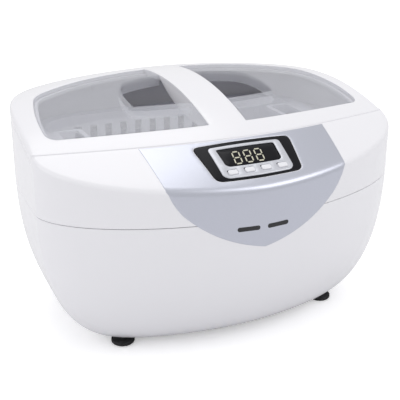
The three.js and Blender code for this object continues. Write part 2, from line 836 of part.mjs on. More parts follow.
function basketSlots() {
  const top = basketRimZ - slotTopDrop;
  const bottom = top - slotHeight;
  const half = slotWidth / 2;
  const alongLength = Math.floor((2 * (tankHalf - tankCorner)) / slotPitch) + 1;
  const alongDepth = Math.floor((tankBack - tankFront - 2 * tankCorner) / slotPitch) + 1;
  const long = slotRow(alongLength, (x) => block(x - half, x + half, -far, far, bottom, top));
  const deep = slotRow(alongDepth, (y) => {
    const at = tankCentreY + y;
    return block(-far, far, at - half, at + half, bottom, top);
  });
  const floor = slotRow(alongLength, (x) => block(x - 2, x + 2, tankFront + 30, tankBack - 30, 0, bottom - 10));
  return unite([long, deep, floor]);
}

// Lift-out basket: slotted walls and floor, and a rim that hangs on the tank
function basket() {
  const floorZ = basketRimZ - basketDepth;
  const shell = tub(-basketClearance, floorZ, basketRimZ + 1);
  const rim = prism(tankOutline(basketRim - basketClearance), basketRimZ, basketRimZ + 2, 5);
  const hollow = tub(-basketClearance - basketWall, floorZ + basketWall, basketRimZ + 1.99);
  const mouth = prism(tankOutline(-basketClearance - basketWall), basketRimZ + 1, basketRimZ + 9, 5);
  return shell.add(rim).subtract(hollow).subtract(mouth).subtract(basketSlots());
}

// A flat loop inside the basket's right-hand rim, to lift it by
function basketHandle() {
  const rimEdge = tankHalf - basketClearance - basketWall - gap;
  const inner = rimEdge - handleLength;
  const y0 = tankCentreY - handleHalf;
  const y1 = tankCentreY + handleHalf;
  const plate = roundedRectangle(inner, rimEdge, y0, y1, 5);
  const hole = roundedRectangle(inner + 4, rimEdge - 5.7, y0 + 4, y1 - 4, 2);
  return prism(plate, basketRimZ, basketRimZ + 2).subtract(prism(hole, 0, far));
}

// ---- Under the tank ----
function transducerPieces(side, x) {
  const y = tankCentreY;
  const bellTop = tankUnder - gap;
  const piezoTop = bellTop - bellHeight - gap;
  const massTop = piezoTop - piezoHeight - gap;
  const headTop = massTop - massHeight - gap;
  const bore = (z0, z1) => post(x, y, z0, z1, boltRadius + gap, 10);
  const bellForm = [[0, bellTop - bellHeight], [stackRadius, bellTop - bellHeight], [bellRadius, bellTop - 3]];
  const bell = turned([...bellForm, [bellRadius, bellTop], [0, bellTop]], x, y);
  const stackForm = [[0, piezoTop - piezoHeight], [stackRadius, piezoTop - piezoHeight]];
  const middle = piezoTop - piezoHeight / 2;
  stackForm.push([stackRadius, middle - 0.3], [stackRadius - 1, middle], [stackRadius, middle + 0.3]);
  const discs = turned([...stackForm, [stackRadius, piezoTop], [0, piezoTop]], x, y);
  const head = turned([[0, headTop - 5], [6, headTop - 5], [6.5, headTop], [0, headTop]], x, y, 6);
  const shank = post(x, y, headTop - 2, bellTop - 4, boltRadius, 10);
  addNode(`transducer_bell_${side}`, bell.subtract(bore(0, bellTop - 3.5)), 'aluminium');
  addNode(`piezo_stack_${side}`, discs.subtract(bore(0, far)), 'ceramic');
  addNode(`back_mass_${side}`, post(x, y, massTop - massHeight, massTop, stackRadius, 20).subtract(bore(0, far)), 'steel');
  addNode(`transducer_bolt_${side}`, head.add(shank), 'steel');
}

function heaterPad() {
  const top = tankUnder - gap;
  const half = heaterLength / 2;
  const shape = roundedRectangle(-half, half, tankCentreY - 28, tankCentreY + 28, 6);
  return prism(shape, top - heaterThickness, top, 3);
}

function thermalCutout() {
  const top = tankUnder - 2 * gap - heaterThickness;
  const can = turned([[0, top - 6], [7, top - 6], [8, top - 5], [8, top], [0, top]], 0, tankCentreY, 20);
  const tabs = block(-12, 12, tankCentreY - 2.5, tankCentreY + 2.5, top - 5, top - 4);
  return can.add(tabs);
}

function fanFrame() {
  const half = fanSize / 2;
  const z0 = baseZ + wall + gap;
  const y = tankCentreY;
  const bodyBlock = prism(roundedRectangle(-half, half, y - half, y + half, 4), z0, z0 + fanHeight, 2);
  const hole = post(0, y, z0 - 1, z0 + fanHeight + 1, half - 2, 24);
  const base = post(0, y, z0, z0 + 2.5, 11, 20);
  const arms = [0, 120, 240].map((turn) => {
    const arm = block(9, half - 1, -1.5, 1.5, z0, z0 + 2.2);
    const matrix = new THREE.Matrix4().makeRotationZ(THREE.MathUtils.degToRad(turn + 30));
    return moved(arm, matrix.setPosition(0, y, 0));
  });
  const reach = half - 5;
  const corners = [[-reach, -reach], [reach, -reach], [-reach, reach], [reach, reach]];
  const holes = unite(corners.map(([x, dy]) => post(x, y + dy, 0, far, 1.8 + gap, 8)));
  return unite([bodyBlock.subtract(hole), base, ...arms]).subtract(holes);
}

function fanRotor() {
  const z0 = baseZ + wall + 2.5 + 2 * gap;
  const top = baseZ + wall + fanHeight - 0.5;
  const hub = post(0, 0, z0, top, 11, 20);
  const blades = Array.from({ length: fanBlades }, (_, i) => {
    const blade = block(9, fanSize / 2 - 3.2, -0.8, 0.8, -6, 6);
    const pitch = new THREE.Matrix4().makeRotationX(0.66).setPosition(0, 0, (z0 + top) / 2);
    const around = new THREE.Matrix4().makeRotationZ((2 * Math.PI * i) / fanBlades);
    return moved(blade, around.multiply(pitch));
  });
  const trim = post(0, 0, z0, top, fanSize / 2 - 2.8, 24);
  const rotor = unite([hub, ...blades]).intersect(trim);
  return moved(rotor, new THREE.Matrix4().makeTranslation(0, tankCentreY, 0));
}

function powerInlet() {
  const half = inletWidth / 2;
  const tall = inletHeight / 2;
  const face = backY - inletPanelInset + gap;
  const flangePlate = [inletX - half - 3, inletX + half + 3, face, face + 2, inletZ - tall - 3, inletZ + tall + 3];
  const shell = block(inletX - half, inletX + half, face - 16, face + 1, inletZ - tall, inletZ + tall);
  const cavity = block(inletX - half + 2, inletX + half - 2, face - 12, face + 3, inletZ - tall + 2, inletZ + tall - 2);
  const pins = [[-7, -2], [0, 2.5], [7, -2]].map(([x, z]) => {
    return block(inletX + x - 1, inletX + x + 1, face - 13, face - 5.5, inletZ + z - 2, inletZ + z + 2);
  });
  return unite([block(...flangePlate).add(shell).subtract(cavity), ...pins]);
}

// ---- Driver board ----
function driverParts() {
  const y0 = driverY - boardThickness / 2;
  const y1 = driverY + boardThickness / 2;
  const top = driverBottom + driverHeight;
  const front = y0 - gap;
  addNode('driver_board', block(-driverHalf, driverHalf, y0, y1, driverBottom, top), 'board');
  const sinkBase = block(-48, -12, front - 4, front, driverBottom + 8, driverBottom + 52);
  const fins = Array.from({ length: 5 }, (_, i) => {
    const x = -47 + i * 8.25;
    return block(x, x + 1.8, front - 18, front - 3, driverBottom + 8, driverBottom + 52);
  });
  addNode('heat_sink', unite([sinkBase, ...fins]), 'aluminium');
  const core = block(-5, 21, front - 18, front, driverBottom + 12, driverBottom + 42);
  const winding = block(-8, 24, front - 15, front - 3, driverBottom + 17, driverBottom + 37);
  addNode('output_coil', core.add(winding), 'copper');
  const capacitor = new THREE.CylinderGeometry(8, 8, 20, 20);
  capacitor.translate(38, front - 10, driverBottom + 40);
  addNode('filter_capacitor', solid(capacitor), 'dark');
  const relay = block(30, 46, front - 15, front, driverBottom + 6, driverBottom + 26);
  addNode('power_relay', relay, 'dark');
}

// ---- Assembly ----
addNode('lower_housing', lowerHousing(), 'gloss');
addNode('upper_housing', upperHousing(), 'gloss');
addNode('lid_frame', lidFrame(), 'gloss');
addNode('window_right', lidWindow(), 'smoke');
addNode('window_left', mirrored(lidWindow()), 'smoke');

const fasciaSkin = outer.subtract(body(fasciaThickness)).intersect(fasciaRegion(0));
addNode('fascia_panel', fasciaSkin.subtract(full(bezelShape(gap)).intersect(domeLayer(5, -9))), 'silver');
addNode('display_bezel', displayBezel(), 'black');
addNode('display_faceplate', displayFaceplate(), 'chrome');
const lens = full(lensShape(0)).intersect(domeLayer(bezelProud - 0.4, bezelUnder));
addNode('display_lens', lens, 'lens');
addNode('display_module', displayModule(), 'dark');
addNode('control_board', controlBoard(), 'board');
buttonNames.forEach((name, i) => addNode(name, button(buttonXs[i]), 'cap'));

['left', 'right'].forEach((side, i) => {
  const sign = i === 0 ? -1 : 1;
  const reach = lidKnuckle / 2 + sideKnuckle + 1;
  addNode(`hinge_pin_${side}`, barrel(sign * hingeX - reach, sign * hingeX + reach, pinRadius, 16), 'steel');
  transducerPieces(side, sign * transducerX);
});

addNode('tank', tank(), 'steel');
addNode('tank_gasket', tankGasket(), 'silicone');
addNode('basket', basket(), 'basket');
addNode('basket_handle_right', basketHandle(), 'basket');
addNode('basket_handle_left', mirrored(basketHandle()), 'basket');
addNode('heater_pad', heaterPad(), 'heater');
addNode('thermal_cutout', thermalCutout(), 'dark');
addNode('fan_frame', fanFrame(), 'dark');
addNode('fan_rotor', fanRotor(), 'dark');
addNode('power_inlet', powerInlet(), 'dark');
driverParts();
footPlaces.forEach((place, i) => addNode(`foot_${i + 1}`, foot(place), 'rubber'));
screwPlaces.forEach((place, i) => addNode(`case_screw_${i + 1}`, caseScrew(place), 'steel'));

export default product;
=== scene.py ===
"""Desktop ultrasonic cleaner: smooth shells, windowed lid, control fascia and finishes over the CAD frame."""
import json
import math

import bmesh
import bpy
import numpy as np
from bpy.props import FloatProperty, FloatVectorProperty, PointerProperty
from bpy.types import Operator, Panel, PropertyGroup
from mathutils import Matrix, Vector
from mathutils.geometry import delaunay_2d_cdt


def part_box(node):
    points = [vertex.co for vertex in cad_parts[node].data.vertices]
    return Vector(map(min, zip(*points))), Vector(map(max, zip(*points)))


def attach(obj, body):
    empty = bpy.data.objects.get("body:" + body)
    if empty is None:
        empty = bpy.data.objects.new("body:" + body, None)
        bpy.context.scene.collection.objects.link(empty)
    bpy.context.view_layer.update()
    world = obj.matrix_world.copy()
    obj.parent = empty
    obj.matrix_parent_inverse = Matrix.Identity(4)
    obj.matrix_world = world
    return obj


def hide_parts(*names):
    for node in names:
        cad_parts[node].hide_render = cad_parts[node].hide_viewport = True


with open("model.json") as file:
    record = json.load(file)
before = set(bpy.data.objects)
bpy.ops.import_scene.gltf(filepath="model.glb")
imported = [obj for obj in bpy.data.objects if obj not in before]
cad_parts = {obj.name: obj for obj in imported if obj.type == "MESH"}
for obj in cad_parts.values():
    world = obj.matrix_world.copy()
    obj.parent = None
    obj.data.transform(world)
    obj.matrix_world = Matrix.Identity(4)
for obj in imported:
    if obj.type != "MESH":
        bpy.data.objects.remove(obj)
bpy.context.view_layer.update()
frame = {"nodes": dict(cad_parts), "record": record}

bl_info = {
    "name": "Ultrasonic cleaner",
    "version": (1, 0, 0),
    "blender": (4, 5, 0),
    "location": "View3D > Sidebar > Cleaner",
    "description": "Builds the smooth shells, panel and finishes of a desktop ultrasonic cleaner",
    "category": "Object",
}

FRONT_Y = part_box("fascia_panel")[0].y
HINGE_LOW, HINGE_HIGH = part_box("hinge_pin_left")
HINGE_Y = (HINGE_LOW.y + HINGE_HIGH.y) / 2
HINGE_Z = (HINGE_LOW.z + HINGE_HIGH.z) / 2
LENS_LOW, LENS_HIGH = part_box("display_lens")
TANK_LOW, TANK_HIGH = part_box("tank")


# ---- Sizes and colours a user would change ----
def length(label, about, value):
    return FloatProperty(name=label, description=about, default=value, min=0.0, unit="LENGTH", precision=4)


def colour(label, about, value):
    return FloatVectorProperty(
        name=label, description=about, default=value, size=3, min=0.0, max=1.0, subtype="COLOR"
    )


class CleanerSizes(PropertyGroup):
    half_width: length("Half width", "From the middle to the widest point of the side", 0.1465)
    front_depth: length("Front depth", "From the widest line to the front", 0.0725)
    back_depth: length("Back depth", "From the widest line to the back wall", 0.1455)
    crown_height: length("Crown height", "Height of the top of the dome", 0.181)
    crown_setback: length("Crown setback", "From the widest line to the top of the dome", 0.0863)
    seam_ahead: length("Seam ahead", "From the widest line forward to the lid seam", 0.0263)
    split_height: length("Split height", "Height of the joint between the two housings", 0.1104)
    base_height: length("Base height", "Height of the underside above the ground", 0.0033)
    wall: length("Wall", "Thickness of the moulded shells", 0.003)
    edge_round: length("Edge rounding", "Rounding along the outer top edge", 0.0026)
    seam_round: length("Seam rounding", "Rounding along the lid seam", 0.0008)
    band_half: length("Band half width", "Half the width of the lid's centre band", 0.0146)
    pane: length("Pane thickness", "Thickness of the lid windows", 0.003)


class CleanerColours(PropertyGroup):
    shell: colour("White shell", "Glossy white plastic", (0.82, 0.815, 0.85))
    silver: colour("Silver fascia", "Satin silver lacquer", (0.56, 0.575, 0.65))
    black: colour("Black surround", "Glossy black plastic", (0.008, 0.008, 0.011))
    window: colour("Window tint", "Smoky clear plastic", (0.76, 0.77, 0.83))
    cap: colour("Button caps", "White plastic keys", (0.80, 0.80, 0.84))
    basket: colour("Basket", "Light grey plastic", (0.66, 0.66, 0.72))


def sizes():
    return bpy.context.scene.cleaner_sizes


def colours():
    return bpy.context.scene.cleaner_colours


# ---- The body's form ----
def widest_y():
    return FRONT_Y + sizes().front_depth


def dome_z(points):
    """Height of the domed deck and lid over plan points."""
    s = sizes()
    crown_y = widest_y() + s.crown_setback
    return s.crown_height - 1.9 * (points[:, 1] - crown_y) ** 2 - 0.62 * points[:, 0] ** 2


def seam_y(x):
    """Depth of the lid seam across the width."""
    return widest_y() - sizes().seam_ahead + 1.3 * np.asarray(x) ** 2


def plan_points(angles, inset):
    """The plan outline at these angles, drawn in by an inset."""
    s = sizes()
    c, n = np.cos(angles), np.sin(angles)
    back = n > 0
    power = np.where(back, 4.3, 1.8)
    reach = (np.abs(c) ** power + np.abs(n) ** power) ** (-1 / power)
    depth = np.where(back, s.back_depth, s.front_depth) - 0.905 * inset
    y = reach * n * depth
    x = reach * c * (s.half_width - inset) * (1 - 0.25 * y)
    return np.stack([x, widest_y() + y], 1)


def even_angles(start, end, count):
    """Angles whose outline points are evenly spaced along the edge."""
    fine = np.linspace(start, end, 6000)
    step = np.linalg.norm(np.diff(plan_points(fine, 0.0), axis=0), axis=1)
    along = np.concatenate([[0], np.cumsum(step)])
    return np.interp(np.linspace(0, along[-1], count), along, fine)


def seam_angle(offset):
    """Angle on the right-hand side where the outline meets the seam, moved back by an offset."""
    fine = np.linspace(-0.25, 0.35, 4000)
    points = plan_points(fine, 0.0)
    return float(np.interp(0.0, points[:, 1] - seam_y(points[:, 0]) - offset, fine))


def bowl_inset(z):
    t = np.clip(1 - z / 0.124, 0, 1)
    return 0.0785 * (1 - (1 - t**2.6) ** (1 / 2.6))


# ---- Mesh building ----
def piece(name, points, faces, body, finish, angle=32):
    """A closed mesh object that rides on a body, smooth except where its faces turn sharply."""
    mesh = bpy.data.meshes.new(name)
    mesh.from_pydata([tuple(p) for p in points], [], faces)
    work = bmesh.new()
    work.from_mesh(mesh)
    bmesh.ops.remove_doubles(work, verts=work.verts, dist=1e-6)
    bmesh.ops.dissolve_degenerate(work, edges=work.edges, dist=1e-7)
    bmesh.ops.recalc_face_normals(work, faces=work.faces)
    work.to_mesh(mesh)
    work.free()
    mesh.shade_smooth()
    mesh.set_sharp_from_angle(angle=math.radians(angle))
    made = bpy.data.objects.new(name, mesh)
    bpy.context.scene.collection.objects.link(made)
    mesh.materials.append(finish)
    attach(made, body)
    return made


def inward(loop):
    """Plan normals pointing into the material, longer where the loop turns, so that insets stay even."""
    ahead = np.roll(loop, -1, 0) - loop
    ahead = ahead / np.linalg.norm(ahead, axis=1)[:, None]
    tangent = ahead + np.roll(ahead, 1, 0)
    tangent = tangent / np.maximum(np.linalg.norm(tangent, axis=1), 1e-9)[:, None]
    cosine = np.clip((tangent * ahead).sum(1), 0.6, 1)
    return np.stack([-tangent[:, 1], tangent[:, 0]], 1) / cosine[:, None]


def inside(points, loops):
    """Which plan points lie in the material between the outer loop and the holes."""
    held = np.zeros(len(points), bool)
    x, y = points[:, 0], points[:, 1]
    for loop in loops:
        for (x0, y0), (x1, y1) in zip(loop, np.roll(loop, -1, 0)):
            if y0 == y1:
                continue
            crosses = (y0 > y) != (y1 > y)
            held ^= crosses & (x < (x1 - x0) * (y - y0) / (y1 - y0) + x0)
    return held


def filled(loops, spacing):
    """Even triangles over the material: the plan points added inside, and the triangles."""
    edge = np.concatenate(loops)
    low, high = edge.min(0), edge.max(0)
    rows = np.arange(low[1] + spacing / 2, high[1], spacing * 0.866)
    grid = []
    for k, y in enumerate(rows):
        xs = np.arange(low[0] + spacing * (0.25 + 0.5 * (k % 2)), high[0], spacing)
        grid.append(np.stack([xs, np.full(len(xs), y)], 1))
    grid = np.concatenate(grid) if grid else np.zeros((0, 2))
    grid = grid[inside(grid, loops)]
    if len(grid):
        near = np.array([np.min(np.sum((edge - p) ** 2, 1)) for p in grid])
        grid = grid[near > (0.6 * spacing) ** 2]
    every = np.concatenate([edge, grid])
    rims = []
    first = 0
    for loop in loops:
        n = len(loop)
        rims += [(first + i, first + (i + 1) % n) for i in range(n)]
        first += n
    result = delaunay_2d_cdt([Vector(p) for p in every], rims, [], 0, 1e-9)
    stands_for = {i: ids[0] for ids in result[3] for i in ids}
    source = []
    for place, ids in zip(result[0], result[3]):
        if not ids:
            grid = np.vstack([grid, [place[:]]])
        source.append(ids[0] if ids else len(edge) + len(grid) - 1)
    triangles = [tuple(source[i] for i in f) for f in result[2]]
    rim_set = {(stands_for[a], stands_for[b]) for a, b in rims}
    return grid, material_side(triangles, rim_set)


def sides_of(face):
    return [(face[0], face[1]), (face[1], face[2]), (face[2], face[0])]


def material_side(triangles, rims):
    """The triangles on the left of the rim edges, found by spreading from the rims."""
    beside = {}
    for k, face in enumerate(triangles):
        for a, b in sides_of(face):
            beside[(a, b)] = k
    kept = {}
    queue = []
    for k, face in enumerate(triangles):
        for a, b in sides_of(face):
            if (a, b) in rims or (b, a) in rims:
                kept[k] = (a, b) in rims
                queue.append(k)
                break
    while queue:
        k = queue.pop()
        for a, b in sides_of(triangles[k]):
            other = beside.get((b, a))
            if other is None or other in kept or (a, b) in rims or (b, a) in rims:
                continue
            kept[other] = kept[k]
            queue.append(other)
    return [face for k, face in enumerate(triangles) if kept.get(k)]


def corner_room(loop):
    """How far each point may be drawn in before it would cross its neighbours at a sharp corner."""
    ahead = np.roll(loop, -1, 0) - loop
    ahead = ahead / np.linalg.norm(ahead, axis=1)[:, None]
    turn = (ahead * np.roll(ahead, 1, 0)).sum(1)
    corners = loop[turn < 0.85]
    if not len(corners):
        return np.full(len(loop), 1.0)
    away = np.min([np.linalg.norm(loop - c, axis=1) for c in corners], axis=0)
    return 0.0006 + 0.8 * away


def plate(loops, profiles, place, spacing, under=None):
    """A closed plate over plan loops (outer anticlockwise, holes clockwise). Each profile lists
    (inset, height) rings from the top face, round the edge, to the underside."""
    points, faces, tops, unders = [], [], [], []
    top_rings, under_rings = [], []
    for loop, profile in zip(loops, profiles):
        normals = inward(loop)
        room = corner_room(loop)
        first = len(points)
        n = len(loop)
        rings = [loop + normals * np.minimum(np.broadcast_to(i, n), room)[:, None] for i, _ in profile]
        for ring, (_, height) in zip(rings, profile):
            points.extend(place(ring, np.broadcast_to(height, n)))
        top_rings.append(rings[0])
        under_rings.append(rings[-1])
        for j in range(len(profile) - 1):
            for i in range(n):
                a, b = first + j * n + i, first + j * n + (i + 1) % n
                faces.append((a + n, b + n, b, a))
        tops += range(first, first + n)
        unders += range(first + (len(profile) - 1) * n, first + len(profile) * n)
    top_height = float(np.mean(np.broadcast_to(profiles[0][0][1], 1))) if under is None else under[0]
    low_height = float(np.mean(np.broadcast_to(profiles[0][-1][1], 1))) if under is None else under[1]
    for rings, known, height, flip in (
        (top_rings, tops, top_height, False),
        (under_rings, unders, low_height, True),
    ):
        grid, triangles = filled(rings, spacing if not flip else spacing * 2)
        ids = np.array(list(known) + list(range(len(points), len(points) + len(grid))))
        if len(grid):
            points.extend(place(grid, np.full(len(grid), height)))
        for t in triangles:
            face = tuple(int(ids[v]) for v in t)
            faces.append(face[::-1] if flip else face)
    return points, faces


def over_dome(points, heights):
    return np.column_stack([points, dome_z(points) + heights])


def flat(points, heights):
    return np.column_stack([points, heights])


def rounding(radius, top=0.0, steps=4):
    """Rings of a rounded upper edge."""
    turn = [math.pi / 2 * k / steps for k in range(steps + 1)]
    return [(radius * (1 - np.sin(a)), top - radius * (1 - np.cos(a))) for a in turn]


def swept(sections):
    """A closed skin through cross-sections of equal length, with its two ends capped."""
    sections = np.asarray(sections)
    count, size = sections.shape[:2]
    faces = []
    for j in range(count - 1):
        for i in range(size):
            a, b = j * size + i, j * size + (i + 1) % size
            faces.append((a, b, b + size, a + size))
    faces.append(tuple(range(size))[::-1])
    faces.append(tuple(range((count - 1) * size, count * size)))
    return sections.reshape(-1, 3), faces


def dense(points, spacing):
    """The same open path with points at an even spacing, its corners kept."""
    out = []
    for a, b in zip(points[:-1], points[1:]):
        n = max(1, int(round(np.linalg.norm(np.subtract(b, a)) / spacing)))
        out += [np.add(a, np.multiply(np.subtract(b, a), k / n)) for k in range(n)]
    out.append(np.asarray(points[-1], float))
    return np.array(out)


def bend(a, b, c, steps=14):
    """A smooth curve from a to c, drawn towards b."""
    t = np.linspace(0, 1, steps + 1)[:, None]
    return (1 - t) ** 2 * np.array(a) + 2 * t * (1 - t) * np.array(b) + t**2 * np.array(c)


def rounded(x0, x1, y0, y1, r, steps=6):
    """An anticlockwise rectangle with rounded corners."""
    out = []
    for cx, cy, start in ((x1 - r, y0 + r, -90), (x1 - r, y1 - r, 0), (x0 + r, y1 - r, 90), (x0 + r, y0 + r, 180)):
        for k in range(steps + 1):
            a = math.radians(start + 90 * k / steps)
            out.append((cx + r * math.cos(a), cy + r * math.sin(a)))
    return np.array(out)


def closed(loop, spacing):
    """A closed loop with points at an even spacing, and none on top of another."""
    path = dense(np.vstack([loop, loop[:1]]), spacing)[:-1]
    apart = np.linalg.norm(path - np.roll(path, 1, 0), axis=1) > 0.00015
    return path[apart]


def cut(target, loop, place, low, high):
    """Cuts a prism over a plan loop out of a piece."""
    points, faces = plate([loop], [[(0.0, high), (0.0, low)]], place, 1.0)
    mesh = bpy.data.meshes.new("cutter")
    mesh.from_pydata([tuple(p) for p in points], [], faces)
    work = bmesh.new()
    work.from_mesh(mesh)
    bmesh.ops.recalc_face_normals(work, faces=work.faces)
    work.to_mesh(mesh)
    work.free()
    cutter = bpy.data.objects.new("cutter", mesh)
    bpy.context.scene.collection.objects.link(cutter)
    step = target.modifiers.new("cut", "BOOLEAN")
    step.operation = "DIFFERENCE"
    step.solver = "EXACT"
    step.object = cutter
    bpy.context.view_layer.update()
    shown = target.evaluated_get(bpy.context.evaluated_depsgraph_get())
    result = bpy.data.meshes.new_from_object(shown)
    target.modifiers.clear()
    old = target.data
    target.data = result
    result.name = target.name
    bpy.data.meshes.remove(old)
    bpy.data.objects.remove(cutter)
    bpy.data.meshes.remove(mesh)


# ---- Finishes ----
def shader(name):
    made = bpy.data.materials.new(name)
    made.use_nodes = True
    tree = made.node_tree
    return made, tree, tree.nodes["Principled BSDF"]


def socket(node, name, value):
    node.inputs[name].default_value = value


def grain(tree, bsdf, scale, strength, distance=0.0002, stretch=(1, 1, 1)):
    """Fine surface relief from noise in the object's own space."""
    place = tree.nodes.new("ShaderNodeTexCoord")
    mapping = tree.nodes.new("ShaderNodeMapping")
    socket(mapping, "Scale", stretch)
    noise = tree.nodes.new("ShaderNodeTexNoise")
    socket(noise, "Scale", scale)
    socket(noise, "Detail", 3.0)
    bump = tree.nodes.new("ShaderNodeBump")
    socket(bump, "Strength", strength)
    socket(bump, "Distance", distance)
    tree.links.new(place.outputs["Object"], mapping.inputs["Vector"])
    tree.links.new(mapping.outputs["Vector"], noise.inputs["Vector"])
    tree.links.new(noise.outputs["Fac"], bump.inputs["Height"])
    tree.links.new(bump.outputs["Normal"], bsdf.inputs["Normal"])
    return noise


def varied(tree, noise, target, low, high):
    """Drives a roughness from noise between two values."""
    span = tree.nodes.new("ShaderNodeMapRange")
    socket(span, "To Min", low)
    socket(span, "To Max", high)
    tree.links.new(noise.outputs["Fac"], span.inputs["Value"])
    tree.links.new(span.outputs["Result"], target)


def tinted(tree, noise, target, first, second):
    """Colour between two close shades, from noise."""
    blend = tree.nodes.new("ShaderNodeMix")
    blend.data_type = "RGBA"
    blend.inputs[6].default_value = (*first, 1)
    blend.inputs[7].default_value = (*second, 1)
    tree.links.new(noise.outputs["Fac"], blend.inputs[0])
    tree.links.new(blend.outputs[2], target)


def moulded(name, base, low, high, scale=900.0, strength=0.05, shade=0.96, gloss=0.5):
    """Moulded plastic: a fine relief, roughness that wanders a little, and a slight shift of shade."""
    made, tree, bsdf = shader(name)
    socket(bsdf, "Specular IOR Level", gloss)
    noise = grain(tree, bsdf, scale, strength)
    broad = tree.nodes.new("ShaderNodeTexNoise")
    socket(broad, "Scale", 14.0)
    varied(tree, broad, bsdf.inputs["Roughness"], low, high)
    tinted(tree, noise, bsdf.inputs["Base Color"], base, tuple(c * shade for c in base))
    return made


def metal(name, base, low, high, stretch=(1, 1, 1), scale=500.0, strength=0.08, metallic=1.0):
    """Metal with a fine, possibly brushed, relief."""
    made, tree, bsdf = shader(name)
    socket(bsdf, "Metallic", metallic)
    noise = grain(tree, bsdf, scale, strength, stretch=stretch)
    varied(tree, noise, bsdf.inputs["Roughness"], low, high)
    tinted(tree, noise, bsdf.inputs["Base Color"], base, tuple(c * 0.93 for c in base))
    return made


def smoky(name, base, alpha):
    """Smoky clear plastic with a glossy face."""
    made, tree, bsdf = shader(name)
    noise = grain(tree, bsdf, 60.0, 0.02)
    tinted(tree, noise, bsdf.inputs["Base Color"], base, tuple(c * 0.97 for c in base))
    socket(bsdf, "Roughness", 0.06)
    socket(bsdf, "IOR", 1.49)
    socket(bsdf, "Alpha", alpha)
    return made


def make_finishes():
    c = colours()
    white, silver, black = tuple(c.shell), tuple(c.silver), tuple(c.black)
    return {
        "white_shell": moulded("white_gloss_plastic", white, 0.20, 0.27, strength=0.03, shade=0.985),
        "silver_fascia": metal("satin_silver_lacquer", silver, 0.30, 0.38, scale=1400.0, strength=0.012,
                               metallic=0.9),
        "black_bezel": moulded("black_gloss_plastic", black, 0.16, 0.24, strength=0.02, shade=0.8,
                               gloss=0.12),
        "bright_trim": metal("silver_faceplate_lacquer", (0.60, 0.61, 0.66), 0.28, 0.36, scale=1500.0,
                             strength=0.05, metallic=0.5),
        "smoke_window": smoky("smoky_window", tuple(c.window), 0.28),
        "display_glass": moulded("display_glass", (0.008, 0.008, 0.011), 0.08, 0.14, strength=0.01,
                                 shade=0.8, gloss=0.12),
        "button_cap": moulded("button_cap_plastic", tuple(c.cap), 0.32, 0.40, strength=0.04),
        "stainless": metal("brushed_stainless", (0.36, 0.36, 0.38), 0.22, 0.34, (1, 1, 24), 120.0, 0.10),
        "basket_plastic": moulded("basket_plastic", tuple(c.basket), 0.40, 0.50, strength=0.06),
        "foot_rubber": moulded("foot_rubber", (0.02, 0.02, 0.022), 0.80, 0.92, 700.0, 0.25, 0.7),
        "silicone": moulded("gasket_silicone", (0.70, 0.70, 0.73), 0.62, 0.74, 600.0, 0.10),
        "circuit_board": moulded("green_circuit_board", (0.012, 0.11, 0.045), 0.42, 0.55, 450.0, 0.15, 0.6),
        "plain_aluminium": metal("turned_aluminium", (0.66, 0.67, 0.68), 0.30, 0.42, (1, 1, 18), 200.0, 0.12),
        "ceramic": moulded("piezo_ceramic", (0.45, 0.36, 0.25), 0.50, 0.62, 800.0, 0.08, 0.85),
        "heater_silicone": moulded("heater_pad_silicone", (0.45, 0.09, 0.03), 0.60, 0.72, 500.0, 0.20, 0.8),
        "dark_plastic": moulded("dark_fan_plastic", (0.018, 0.018, 0.021), 0.45, 0.58, 800.0, 0.10, 0.7),
        "copper_winding": metal("copper_winding", (0.72, 0.35, 0.17), 0.28, 0.40, (1, 1, 60), 90.0, 0.4),
        "plated_steel": metal("plated_steel", (0.58, 0.58, 0.57), 0.26, 0.38, scale=400.0, strength=0.08),
    }


finishes = {}


def finish_of(slot):
    if not finishes:
        finishes.update(make_finishes())
    return finishes[slot]


# ---- Lid outline, windows and pocket, in plan ----
def lid_loop(gap):
    """The lid's edge, anticlockwise, and which of its points lie on the seam."""
    start = seam_angle(gap)
    rim = plan_points(even_angles(start, math.pi - start, 220), 0.0)
    xs = np.linspace(rim[-1, 0], rim[0, 0], 110)[1:-1]
    seam = np.stack([xs, seam_y(xs) + gap], 1)
    return np.vstack([rim, seam]), np.arange(len(rim) + len(seam)) >= len(rim)


def deck_loop(gap):
    """The front deck's edge, anticlockwise, and which of its points lie on the seam."""
    start = seam_angle(-gap)
    rim = plan_points(even_angles(math.pi - start, 2 * math.pi + start, 200), 0.0)
    xs = np.linspace(rim[-1, 0], rim[0, 0], 110)[1:-1]
    seam = np.stack([xs, seam_y(xs) - gap], 1)
    return np.vstack([rim, seam]), np.arange(len(rim) + len(seam)) >= len(rim)


def window_path(grow):
    """The right-hand window's edge from the band's front, round the side, to the band's back."""
    s = sizes()
    back_y = widest_y() + s.back_depth
    near = s.band_half + 0.001 - grow
    side = s.half_width - 0.016 + grow
    back = back_y - 0.028 + grow

    def front(x):
        return float(seam_y(x)) + 0.0169 - grow

    xs = np.linspace(near, side - 0.006, 44)
    parts = [np.array([(x, front(x)) for x in xs])]
    corner = (side, front(side) + 0.008)
    parts.append(bend((side - 0.006, front(side - 0.006)), (side - 0.0005, front(side) + 0.002), corner)[1:])
    parts.append(bend(corner, (side + 0.001, 0.008), (side - 0.0095, back - 0.034), 24)[1:])
    parts.append(bend(parts[-1][-1], (side - 0.014, back - 0.022), (side - 0.026, back - 0.018))[1:])
    parts.append(bend(parts[-1][-1], (s.half_width / 2, back), (near, back), 36)[1:])
    return np.vstack(parts)


